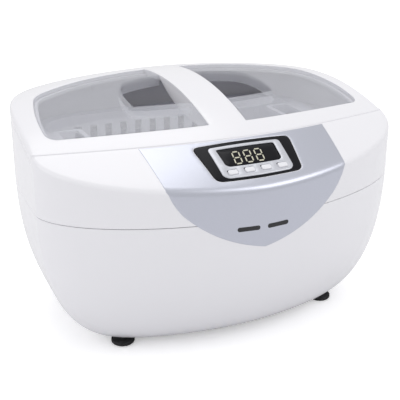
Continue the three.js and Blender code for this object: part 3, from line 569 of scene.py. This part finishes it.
def pocket_path(grow):
    """The pocket's right-hand edge, from the band's back, round, to the band's front."""
    s = sizes()
    near = s.band_half + 0.001
    front = float(seam_y(0)) + 0.0479 - grow
    half = 0.0595 + grow
    back = front + 0.064 + 2 * grow
    top = bend((0.0, back), (half / 2, back), (half - 0.009, back - 0.009), 60)
    level = np.array([(near, np.interp(near, top[:, 0], top[:, 1]))])
    top = top[top[:, 0] > near + 0.0005]
    side = bend((half - 0.009, back - 0.009), (half + 0.0035, front + 0.036), (half, front + 2.2 * half**2), 26)[1:]
    xs = np.linspace(half, near, 24)[1:]
    return np.vstack([level, top, side, np.stack([xs, front + 2.2 * xs**2], 1)])


def mirror(loop):
    """The loop on the left-hand side, still turning the same way."""
    return (loop * np.array([-1, 1]))[::-1]


class CLEANER_OT_lid_frame(Operator):
    """White lid: the domed skin round the two windows, its skirt, centre-band walls and window seats"""

    bl_idname = "cleaner.lid_frame"
    bl_label = "Lid frame"

    def execute(self, context):
        s = sizes()
        loop, on_seam = lid_loop(0.00015)
        radius = np.where(on_seam, s.seam_round, s.edge_round)
        edge = [(radius * (1 - math.sin(a)), -radius * (1 - math.cos(a)))
                for a in np.linspace(0, math.pi / 2, 6)]
        skirt = [(0.0, -0.0066), (0.0004, -0.007), (s.wall, -0.007), (s.wall, -s.wall)]
        hole = window_path(0.0003)
        inner = dense([hole[-1], hole[0]], 0.0025)[1:-1]
        right = np.vstack([hole, inner])[::-1]
        holes = [right, mirror(right)]
        lip = rounding(0.0006) + [(0.0, -s.wall)]
        points, faces = plate([loop, *holes], [edge + skirt, lip, lip], over_dome, 0.0042, (0.0, -s.wall))
        skin = piece("lid_skin", points, faces, "lid", finish_of("white_shell"))
        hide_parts("lid_frame")
        for side, turn in (("right", 1), ("left", -1)):
            self.seat(side, turn)
            self.band_wall(side, turn)
            knuckle("lid_knuckle_" + side, turn * 0.062, 0.012, -0.0025, 0.00375, 0.0035, "lid")
        return {"FINISHED"}

    def seat(self, side, turn):
        """The ledge under a window's edge."""
        path = window_path(0.0)
        normals = inward(np.vstack([path, path[::-1]]))[: len(path)]
        normals[0], normals[-1] = normals[1], normals[-2]
        loop = np.vstack([path - normals * 0.0025, (path + normals * 0.003)[::-1]])
        if turn < 0:
            loop = mirror(loop)
        rings = [(0.0003, -0.0033), (0.0, -0.0036), (0.0, -0.0057), (0.0003, -0.006)]
        points, faces = plate([loop], [rings], over_dome, 0.01)
        piece("window_seat_" + side, points, faces, "lid", finish_of("white_shell"))

    def band_wall(self, side, turn):
        """The upright wall beside the centre band: shallow at the back of the pocket, deep in front of it."""
        s = sizes()
        front = float(seam_y(0)) + 0.006
        back = widest_y() + s.back_depth - 0.012
        pocket_back = float(seam_y(0)) + 0.1119
        deep = s.crown_height - 0.0235
        path = [(front, deep - 0.002), (front + 0.04, deep)]
        low = np.vstack([path, bend(path[-1], (pocket_back - 0.03, deep + 0.002),
                                    (pocket_back - 0.002, s.crown_height - 0.005), 24)[1:],
                         [(back, s.crown_height - 0.009)]])
        ys = np.linspace(back, front, 60)
        tops = dome_z(np.stack([np.full(60, s.band_half), ys], 1)) - 0.0029
        low = low[low[:, 1] < dome_z(np.stack([np.full(len(low), s.band_half), low[:, 0]], 1)) - 0.0032]
        loop = closed(np.vstack([low, np.stack([ys, tops], 1)]), 0.003)
        extrude("band_wall_" + side, loop, turn * (s.band_half - 0.00125), 0.00125, "lid", "white_shell", 0.0004)


def extrude(name, loop, middle, half, body, slot, radius, holes=()):
    """A plate whose face lies in the YZ plane, centred on an X."""
    rings = [(radius, half), (radius * 0.3, half - radius * 0.3), (0.0, half - radius)]
    rings = rings + [(i, -h) for i, h in rings[::-1]]
    loops = [loop, *holes]
    points, faces = plate(loops, [rings] * len(loops),
                          lambda p, h: np.column_stack([middle + h, p[:, 0], p[:, 1]]), 0.004)
    return piece(name, points, faces, body, finish_of(slot))


def knuckle(name, x, long, low, high, arm, body):
    """A hinge knuckle: a barrel round the pin with an arm to the shell."""
    r = 0.00375
    wall_y = widest_y() + sizes().back_depth - arm
    start = -math.acos(max(-1.0, -math.sqrt(max(0.0, r * r - low * low)) / r)) if low < 0 else 0
    stop = math.pi / 2 if high >= r else math.pi - math.asin(high / r)
    turn = np.linspace(start, stop, 26)
    barrel = np.stack([HINGE_Y + r * np.cos(turn), HINGE_Z + r * np.sin(turn)], 1)
    arm_points = np.array([(wall_y, HINGE_Z + high), (wall_y, HINGE_Z + low)])
    loop = np.vstack([barrel, arm_points])
    a = np.linspace(0, -2 * math.pi, 19)[:-1]
    hole = np.stack([HINGE_Y + 0.0018 * np.cos(a), HINGE_Z + 0.0018 * np.sin(a)], 1)
    return extrude(name, loop, x, long / 2, body, "white_shell", 0.0003, [hole])


class CLEANER_OT_windows(Operator):
    """Smoky lid windows, each a domed pane with a short wall round the finger pocket"""

    bl_idname = "cleaner.windows"
    bl_label = "Lid windows"

    def execute(self, context):
        s = sizes()
        outer = window_path(0.0)
        pocket = pocket_path(0.0)
        down = dense([outer[-1], pocket[0]], 0.0025)[1:-1]
        forward = dense([pocket[-1], outer[0]], 0.0025)[1:-1]
        right = np.vstack([outer, down, pocket, forward])
        is_pocket = np.zeros(len(right), bool)
        first = len(outer) + len(down)
        is_pocket[first : first + len(pocket)] = True
        for side in ("right", "left"):
            loop, wall = (right, is_pocket) if side == "right" else (mirror(right), is_pocket[::-1])
            deep = np.where(wall, 0.009, s.pane)
            thick = np.where(wall, 0.002, 0.0004)
            rings = rounding(0.0005) + [(0.0, 0.0003 - deep), (0.0003, -deep), (thick, -deep), (thick, -s.pane)]
            points, faces = plate([loop], [rings], over_dome, 0.004, (0.0, -s.pane))
            pane = piece("window_pane_" + side, points, faces, "lid", finish_of("smoke_window"))
            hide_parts("window_" + side)
        return {"FINISHED"}


class CLEANER_OT_upper_housing(Operator):
    """White upper housing: the front deck and wall, the wall round the sides and back, and the inner ledge"""

    bl_idname = "cleaner.upper_housing"
    bl_label = "Upper housing"

    def execute(self, context):
        s = sizes()
        low = s.split_height + 0.00015
        loop, on_seam = deck_loop(0.00015)
        radius = np.where(on_seam, s.seam_round, s.edge_round)
        edge = [(radius * (1 - math.sin(a)), -radius * (1 - math.cos(a)))
                for a in np.linspace(0, math.pi / 2, 6)]
        along = np.clip((s.half_width - np.abs(loop[:, 0])) / 0.03, 0, 1)
        splash = -0.0073 - 0.012 * along
        foot = np.where(on_seam, splash, low - dome_z(loop))
        walls = [(0.0, foot * 0.33), (0.0, foot * 0.66), (0.0, foot + 0.0002), (0.0002, foot),
                 (s.wall - 0.0002, foot), (s.wall, foot + 0.0002), (s.wall, np.minimum(-s.wall, foot * 0.4)),
                 (s.wall, -s.wall)]
        low_end, high_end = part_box("display_bezel")
        bay = tapered(0.0285, 0.0285, low_end.y + 0.0015, high_end.y - 0.004, 0.002)[::-1]
        lip = [(0.0, 0.0), (0.0, -s.wall)]
        points, faces = plate([loop, bay], [edge + walls, lip], over_dome, 0.0042, (0.0, -s.wall))
        deck = piece("front_deck", points, faces, "housing", finish_of("white_shell"))
        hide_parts("upper_housing")
        self.side_wall(low)
        self.ledge()
        for side, turn in (("right", 1), ("left", -1)):
            for k, x in enumerate((0.0524, 0.0716)):
                name = f"housing_knuckle_{side}_{k + 1}"
                knuckle(name, turn * (x - 0.00005 if k else x + 0.00005), 0.0065, -0.00375, 0.001, 0.004, "housing")
        return {"FINISHED"}

    def side_wall(self, low):
        """The wall round the sides and back, under the lid's skirt."""
        s = sizes()
        start = seam_angle(-0.00015)
        angles = even_angles(start, math.pi - start, 240)
        rim = plan_points(angles, 0.0)
        top = dome_z(rim) - 0.0073
        sections = []
        insets = (0.0002, 0.0, 0.0, 0.0, 0.0004, s.wall - 0.0004, s.wall, s.wall)
        rims = {i: plan_points(angles, i) for i in set(insets)}
        for k in range(len(rim)):
            heights = (low, low + 0.0002, (low + top[k]) / 2, top[k] - 0.0004, top[k], top[k], top[k] - 0.0004, low)
            sections.append([(*rims[i][k], h) for i, h in zip(insets, heights)])
        points, faces = swept(sections)
        piece("side_wall", points, faces, "housing", finish_of("white_shell"))

    def ledge(self):
        """The shelf inside the housing that the tank hangs on."""
        s = sizes()
        start = seam_angle(0.0)
        rim = plan_points(even_angles(start, math.pi - start, 120), s.wall + 0.0001)
        xs = np.linspace(rim[-1, 0], rim[0, 0], 50)[1:-1]
        loop = np.vstack([rim, np.stack([xs, seam_y(xs) - 0.0028], 1)])
        mid_y = (TANK_LOW.y + TANK_HIGH.y) / 2
        half_x, half_y = 0.1183, (TANK_HIGH.y - TANK_LOW.y) / 2 - 0.0037
        hole = rounded(-half_x, half_x, mid_y - half_y, mid_y + half_y, 0.0403, 12)[::-1]
        top = TANK_HIGH.z - 0.0031
        rings = [(0.0003, top), (0.0, top - 0.0003), (0.0, top - 0.0027), (0.0003, top - 0.003)]
        points, faces = plate([loop, hole], [rings, rings], flat, 0.02)
        piece("tank_ledge", points, faces, "housing", finish_of("white_shell"))


class CLEANER_OT_lower_housing(Operator):
    """White lower housing: the bowl with its back louvres, fan grille and inlet bay"""

    bl_idname = "cleaner.lower_housing"
    bl_label = "Lower housing"

    def execute(self, context):
        s = sizes()
        top = s.split_height - 0.00015
        angles = even_angles(0, 2 * math.pi, 361)[:-1]
        rise = np.sin(np.linspace(0.0, math.pi / 2, 30)) ** 1.6
        heights = s.base_height + (top - 0.0003 - s.base_height) * (1 - rise[::-1])[::-1] ** 1.0
        heights = s.base_height + (top - 0.0003 - s.base_height) * np.linspace(0, 1, 34) ** 1.7
        outer = [(bowl_inset(z), z) for z in heights] + [(0.0003 + bowl_inset(top), top)]
        outer.insert(0, (outer[0][0] + 0.0008, s.base_height - 0.0))
        inner = [(bowl_inset(z) + s.wall, max(z, s.base_height + s.wall)) for z in heights[::-1]]
        rings = []
        for inset, z in outer + [(s.wall - 0.0003, top)] + inner:
            ring = plan_points(angles, inset)
            rings.append(np.column_stack([ring, np.full(len(ring), z)]))
        points, faces = swept(rings)
        bowl = piece("bowl", points, faces, "housing", finish_of("white_shell"))
        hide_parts("lower_housing")
        self.openings(bowl)
        bowl.data.shade_smooth()
        bowl.data.set_sharp_from_angle(angle=math.radians(32))
        return {"FINISHED"}

    def openings(self, bowl):
        """Cuts the louvres, the fan grille and the inlet bay's mouth."""
        s = sizes()
        back = widest_y() + s.back_depth
        for i in range(9):
            x = -0.084 + i * 0.009
            cut(bowl, rounded(x, x + 0.0034, 0.048, 0.078, 0.0012, 3), upright, -back - 0.01, -back + 0.04)
        cut(bowl, rounded(0.0495, 0.0905, 0.017, 0.053, 0.003, 4), upright, -back - 0.01, -back + 0.045)
        mid = (TANK_LOW.y + TANK_HIGH.y) / 2
        for row in range(-3, 4):
            x = row * 0.0072
            reach = math.sqrt(0.026**2 - x * x)
            slot = rounded(x - 0.0019, x + 0.0019, mid - reach, mid + reach, 0.0018, 3)
            cut(bowl, slot, flat, -0.002, s.base_height + s.wall + 0.001)


def upright(points, heights):
    """Places a plan drawn in XZ, its height running forward from the back."""
    return np.column_stack([points[:, 0], -heights, points[:, 1]])


# ---- Fascia: across is X, and along runs from the crease, back over the deck or down the front ----
def front_edge(x):
    """Depth of the front outline, the cosine of its turn, and its slope, at an X."""
    edge = plan_points(np.linspace(1.1 * math.pi, 1.9 * math.pi, 1200), 0.0)
    rise = np.gradient(edge[:, 1], edge[:, 0])
    slope = np.interp(x, edge[:, 0], rise)
    return np.interp(x, edge[:, 0], edge[:, 1]), 1 / np.sqrt(1 + slope**2), slope


def on_fascia(points, heights):
    """Places points given across and along the fascia, at a height off its surface."""
    x, v = points[:, 0], points[:, 1]
    r = sizes().edge_round
    y0, cosine, slope = front_edge(x)
    turn = np.clip((v + r) / (2 * r), 0, 1) * math.pi / 2
    inset = r * (1 - np.cos(turn)) / cosine + np.maximum(v - r, 0) + 0.0
    plan = np.stack([x, y0 + inset], 1)
    deck = dome_z(plan)
    crease = dome_z(np.stack([x, y0], 1))
    z = deck - r * (1 - np.sin(turn))
    wall = v < -r
    z = np.where(wall, crease - r + (v + r), z)
    down = np.maximum(0, 0.124 - z)
    drawn = bowl_inset(z) * 0.905 * (down > 0)
    lean = np.cos(turn)
    nx, ny = slope * cosine * lean * heights, -cosine * lean * heights
    nz = np.sin(turn) * heights
    return np.column_stack([x + nx, plan[:, 1] + drawn + ny, z + nz])


def fascia_loop(grow):
    """The fascia's edge, anticlockwise, in across and along."""
    crease = float(dome_z(np.array([[0.0, FRONT_Y]]))[0])
    half_back, half_front = 0.0754 + grow, 0.0713 + grow
    xs = np.linspace(half_back, -half_back, 70)
    y0, _, _ = front_edge(xs)
    back = np.stack([xs, seam_y(xs) - 0.0013 - 0.00015 + grow * 0.8 - y0], 1)
    left = [(-half_back, back[-1, 1]), (-half_front, 0.0)]
    shield = np.vstack([
        bend((-half_front, crease + 0.008), (-half_front + 0.001, crease - 0.003),
             (-0.060 - grow, crease - 0.015 - grow)),
        bend((-0.060 - grow, crease - 0.015 - grow), (-0.036 - grow, crease - 0.038 - grow),
             (0.0, crease - 0.045 - grow), 26)[1:],
    ])
    shield = np.vstack([shield, (shield * np.array([-1, 1]))[::-1][1:]])
    edge_y, _, _ = front_edge(shield[:, 0])
    edge = dome_z(np.stack([shield[:, 0], edge_y], 1))
    lower = np.stack([shield[:, 0], shield[:, 1] - edge], 1)
    lower = lower[lower[:, 1] < -0.0005]
    right = [(half_front, 0.0), (half_back, back[0, 1])]
    return closed(np.vstack([back[1:-1], left, lower, right]), 0.0022)


def fascia_frame(shape):
    """A plan outline on the deck as a fascia outline."""
    y0, _, _ = front_edge(shape[:, 0])
    return np.stack([shape[:, 0], shape[:, 1] - y0], 1)


def tapered(half_back, half_front, front, back, corner):
    """A plate outline, anticlockwise, wider at the back, with rounded corners and a bowed front edge."""
    bow = 1.3 * half_front**2
    right = np.vstack([
        bend((0.0, front), (half_front * 0.5, front + bow * 0.2), (half_front - corner, front + bow), 12),
        bend((half_front - corner, front + bow), (half_front, front + bow + 0.001),
             (half_front + 0.0006, front + bow + corner), 8)[1:],
        bend((half_back - 0.0006, back - corner), (half_back, back), (half_back - corner, back), 8),
    ])
    left = (right * np.array([-1, 1]))[::-1]
    return closed(np.vstack([right, left[:-1]]), 0.0016)


def bezel_loop(grow):
    low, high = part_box("display_bezel")
    return tapered(high.x + grow, high.x - 0.005 + grow, low.y - grow, high.y + grow, 0.005 + grow)


def faceplate_loop(grow):
    low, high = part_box("display_faceplate")
    return tapered(high.x + grow, high.x - 0.002 + grow, low.y - grow, high.y + grow, 0.004)


def lens_loop(grow):
    half = LENS_HIGH.x + grow
    return tapered(half, half - 0.002, LENS_LOW.y - grow, LENS_HIGH.y + grow, 0.0026)


class CLEANER_OT_fascia(Operator):
    """Silver fascia that runs from the seam over the crease and down the front as a shield"""

    bl_idname = "cleaner.fascia"
    bl_label = "Silver fascia"

    def execute(self, context):
        loop = fascia_loop(0.0)
        hole = fascia_frame(bezel_loop(0.0003))[::-1]
        rim = rounding(0.0005, 0.00025) + [(0.0, -0.0009)]
        points, faces = plate([loop, hole], [rim, rim], on_fascia, 0.0022)
        skin = piece("fascia_skin", points, faces, "housing", finish_of("silver_fascia"))
        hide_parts("fascia_panel")
        for name, x0, x1 in (("left", -0.0224, -0.0051), ("right", 0.0009, 0.0179)):
            crease = float(dome_z(np.array([[0.0, FRONT_Y]]))[0])
            v = 0.104 - crease
            pill = rounded(x0, x1, v - 0.0017, v + 0.0017, 0.0016, 5)
            rings = [(0.0001, 0.00042), (0.0, 0.00034), (0.0, 0.0001)]
            points, faces = plate([pill], [rings], on_fascia, 0.002)
            piece("mode_mark_" + name, points, faces, "housing", finish_of("dark_plastic"))
        return {"FINISHED"}


class CLEANER_OT_panel(Operator):
    """Black surround, silver faceplate, display window with unlit digits, and the four keys"""

    bl_idname = "cleaner.panel"
    bl_label = "Control panel"

    def execute(self, context):
        outer = bezel_loop(0.0)
        hole = lens_loop(0.0004)[::-1]
        rings = rounding(0.0007, 0.0005) + [(0.0, -0.0013)]
        lip = rounding(0.0002, 0.0005, 2) + [(0.0, -0.0013)]
        holes = [hole, *self.key_holes(0.0002)]
        points, faces = plate([outer, *holes], [rings] + [lip] * 5, over_dome, 0.003, (0.0005, -0.0013))
        bezel = piece("black_surround", points, faces, "housing", finish_of("black_bezel"))
        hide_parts("display_bezel")
        self.faceplate()
        self.lens()
        self.digits()
        for name in ("start", "stop", "time", "heat"):
            self.key(name)
        return {"FINISHED"}

    def faceplate(self):
        hole = lens_loop(0.0003)[::-1]
        rings = rounding(0.0005, 0.0012) + [(0.0, 0.0006)]
        lip = rounding(0.0002, 0.0012, 2) + [(0.0, 0.0006)]
        loops = [faceplate_loop(0.0), hole, *self.key_holes(0.0)]
        points, faces = plate(loops, [rings] + [lip] * 5, over_dome, 0.003, (0.0012, 0.0006))
        made = piece("silver_faceplate", points, faces, "housing", finish_of("bright_trim"))
        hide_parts("display_faceplate")

    def key_holes(self, grow):
        """The four openings that the keys pass through."""
        holes = []
        for name in ("start", "stop", "time", "heat"):
            low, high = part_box(name + "_button")
            x, y = (low.x + high.x) / 2, self.key_y()
            half, deep = 0.0041 + grow, 0.0023 + grow
            holes.append(rounded(x - half, x + half, y - deep, y + deep, 0.0014, 4)[::-1])
        return holes

    def lens(self):
        rings = rounding(0.0003, 0.0004, 2) + [(0.0, -0.0012)]
        points, faces = plate([lens_loop(0.0)], [rings], over_dome, 0.003, (0.0004, -0.0012))
        lens = piece("display_window", points, faces, "housing", finish_of("display_glass"))
        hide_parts("display_lens")

    def digits(self):
        """Three seven-segment figures printed on the window, all segments shown."""
        mid_y = (LENS_LOW.y + LENS_HIGH.y) / 2 - 0.0006
        tall, wide, thick = 0.0052, 0.0052, 0.0009
        points, faces = [], []
        for k in range(3):
            cx = -0.0105 + 0.0088 * k
            for a, b in segments(wide, tall, thick):
                bar = segment_bar(a, b, thick)
                bar[:, 0] += cx + 0.12 * bar[:, 1]
                bar[:, 1] += mid_y
                rings = [(0.0, 0.00055), (0.0, 0.0003)]
                p, f = plate([bar], [rings], over_dome, 0.01)
                base = len(points)
                points.extend(p)
                faces += [tuple(i + base for i in face) for face in f]
        made = piece("display_digits", points, faces, "housing", digit_finish())
        return made

    def key_y(self):
        """Where the keys' middles cross the deck."""
        return FRONT_Y + 0.0151

    def key(self, name):
        node = name + "_button"
        low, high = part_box(node)
        x, y = (low.x + high.x) / 2, self.key_y()
        at = np.array([[x, y]])
        z = float(dome_z(at)[0])
        tilt = math.atan(-3.8 * (y - widest_y() - sizes().crown_setback))
        cos, sin = math.cos(tilt), math.sin(tilt)

        def on_slope(points, heights):
            u, v = points[:, 0], points[:, 1]
            return np.column_stack([x + u, y + v * cos - heights * sin, z + v * sin + heights * cos])

        loop = rounded(-0.0037, 0.0037, -0.0021, 0.0021, 0.0011, 6)
        rings = [(0.0009, 0.0019), (0.0006, 0.00184)] + rounding(0.0004, 0.0017, 3) + [(0.0, -0.0024)]
        points, faces = plate([loop], [rings], on_slope, 0.002, (0.0019, -0.0024))
        cap = piece(name + "_cap", points, faces, name + "_key", finish_of("button_cap"))
        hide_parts(node)


def segments(wide, tall, thick):
    """Ends of the seven bars of a figure about its middle."""
    w, t, g = wide / 2, tall, thick * 0.62
    level = [((g - w, h), (w - g, h)) for h in (-t, 0.0, t)]
    rest = [((x, s * t - s * g), (x, s * g)) for x in (-w, w) for s in (-1, 1)]
    return level + rest


def segment_bar(a, b, thick):
    """A bar with pointed ends between two places, anticlockwise."""
    a, b = np.array(a, float), np.array(b, float)
    along = (b - a) / np.linalg.norm(b - a)
    side = np.array([-along[1], along[0]]) * thick / 2
    tip = along * thick / 2
    return np.array([a, a + tip - side, b - tip - side, b, b - tip + side, a + tip + side])


def digit_finish():
    made = bpy.data.materials.get("display_figures")
    if made is None:
        made = moulded("display_figures", (0.62, 0.60, 0.48), 0.35, 0.45)
    return made


class CLEANER_OT_inside(Operator):
    """Finishes for the pieces that keep their CAD shape: tank, basket, hinge pins, works, feet and screws"""

    bl_idname = "cleaner.inside"
    bl_label = "Tank, basket and works"

    def execute(self, context):
        slots = {}
        for entry in frame["record"].get("materials", []):
            for node in entry.get("nodes", []):
                slots[node] = entry["slot"]
        for name, node in frame["nodes"].items():
            if node.hide_render:
                continue
            slot = slots.get(name) or node_slot(name)
            node.data.materials.clear()
            node.data.materials.append(finish_of(slot))
        return {"FINISHED"}


def node_slot(name):
    """The finish of a CAD node by what it is made of."""
    kinds = {
        "tank_gasket": "silicone", "tank": "stainless", "basket": "basket_plastic", "foot": "foot_rubber",
        "case_screw": "plated_steel", "hinge_pin": "plated_steel", "heater": "heater_silicone",
        "back_mass": "plated_steel", "transducer_bell": "plain_aluminium", "transducer_bolt": "plated_steel",
        "piezo": "ceramic", "control_board": "circuit_board", "driver_board": "circuit_board",
        "heat_sink": "plain_aluminium", "output_coil": "copper_winding",
    }
    for start, slot in kinds.items():
        if name.startswith(start):
            return slot
    return "dark_plastic"


class CLEANER_OT_stage(Operator):
    """Pale floor, soft lamps and the camera"""

    bl_idname = "cleaner.stage"
    bl_label = "Stage"

    def execute(self, context):
        self.floor()
        self.world(context.scene)
        self.lamp("key_lamp", (1.0, -0.9, 1.4), 1.1, 5.5)
        self.lamp("fill_lamp", (-1.4, -0.1, 0.8), 1.2, 3.5)
        self.lamp("top_lamp", (0.1, 0.6, 1.7), 1.3, 6.0)
        self.camera(context.scene)
        return {"FINISHED"}

    def floor(self):
        mesh = bpy.data.meshes.new("floor")
        r = 12.0
        mesh.from_pydata([(-r, -r, 0), (r, -r, 0), (r, r, 0), (-r, r, 0)], [], [(0, 1, 2, 3)])
        floor = bpy.data.objects.new("floor", mesh)
        bpy.context.scene.collection.objects.link(floor)
        made, tree, bsdf = shader("pale_floor")
        socket(bsdf, "Base Color", (0.86, 0.86, 0.87, 1))
        socket(bsdf, "Roughness", 0.7)
        socket(bsdf, "Specular IOR Level", 0.1)
        socket(bsdf, "Emission Color", (1, 1, 1, 1))
        path = tree.nodes.new("ShaderNodeLightPath")
        lift = tree.nodes.new("ShaderNodeMath")
        lift.operation = "MULTIPLY"
        lift.inputs[1].default_value = 0.35
        tree.links.new(path.outputs["Is Camera Ray"], lift.inputs[0])
        tree.links.new(lift.outputs[0], bsdf.inputs["Emission Strength"])
        mesh.materials.append(made)

    def world(self, scene):
        world = bpy.data.worlds.new("studio")
        scene.world = world
        world.use_nodes = True
        tree = world.node_tree
        sky = tree.nodes["Background"]
        socket(sky, "Color", (1, 1, 1, 1))
        path = tree.nodes.new("ShaderNodeLightPath")
        seen = tree.nodes.new("ShaderNodeMath")
        seen.operation = "MAXIMUM"
        tree.links.new(path.outputs["Is Camera Ray"], seen.inputs[0])
        tree.links.new(path.outputs["Is Transmission Ray"], seen.inputs[1])
        level = tree.nodes.new("ShaderNodeMapRange")
        socket(level, "To Min", 0.78)
        socket(level, "To Max", 1.0)
        tree.links.new(seen.outputs[0], level.inputs["Value"])
        tree.links.new(level.outputs["Result"], sky.inputs["Strength"])

    def lamp(self, name, place, size, power):
        data = bpy.data.lights.new(name, "AREA")
        data.shape = "DISK"
        data.size = size
        data.energy = power
        lamp = bpy.data.objects.new(name, data)
        bpy.context.scene.collection.objects.link(lamp)
        lamp.location = place
        lamp.rotation_euler = (Vector((0, 0, 0.1)) - Vector(place)).to_track_quat("-Z", "Y").to_euler()

    def camera(self, scene):
        data = bpy.data.cameras.new("camera")
        data.lens = 78.54
        data.sensor_width = 36
        camera = bpy.data.objects.new("camera", data)
        scene.collection.objects.link(camera)
        place = Vector((-0.280965, -0.606877, 0.342676))
        camera.location = place
        aim = Vector((-0.015065, -0.033371, 0.098443))
        camera.rotation_euler = (aim - place).to_track_quat("-Z", "Y").to_euler()
        scene.camera = camera
        scene.view_settings.view_transform = "Standard"


class CLEANER_PT_panel(Panel):
    bl_label = "Ultrasonic cleaner"
    bl_idname = "CLEANER_PT_panel"
    bl_space_type = "VIEW_3D"
    bl_region_type = "UI"
    bl_category = "Cleaner"

    def draw(self, context):
        for item in builders:
            self.layout.operator(item.bl_idname)
        for group in (context.scene.cleaner_sizes, context.scene.cleaner_colours):
            for name in group.__annotations__:
                self.layout.prop(group, name)


builders = (
    CLEANER_OT_lower_housing,
    CLEANER_OT_upper_housing,
    CLEANER_OT_lid_frame,
    CLEANER_OT_windows,
    CLEANER_OT_fascia,
    CLEANER_OT_panel,
    CLEANER_OT_inside,
    CLEANER_OT_stage,
)
classes = (CleanerSizes, CleanerColours, *builders, CLEANER_PT_panel)


def register():
    for item in classes:
        bpy.utils.register_class(item)
    bpy.types.Scene.cleaner_sizes = PointerProperty(type=CleanerSizes)
    bpy.types.Scene.cleaner_colours = PointerProperty(type=CleanerColours)


def unregister():
    del bpy.types.Scene.cleaner_colours
    del bpy.types.Scene.cleaner_sizes
    for item in reversed(classes):
        bpy.utils.unregister_class(item)


def main():
    register()
    for item in builders:
        group, name = item.bl_idname.split(".")
        getattr(getattr(bpy.ops, group), name)()


if __name__ == "__main__":
    main()
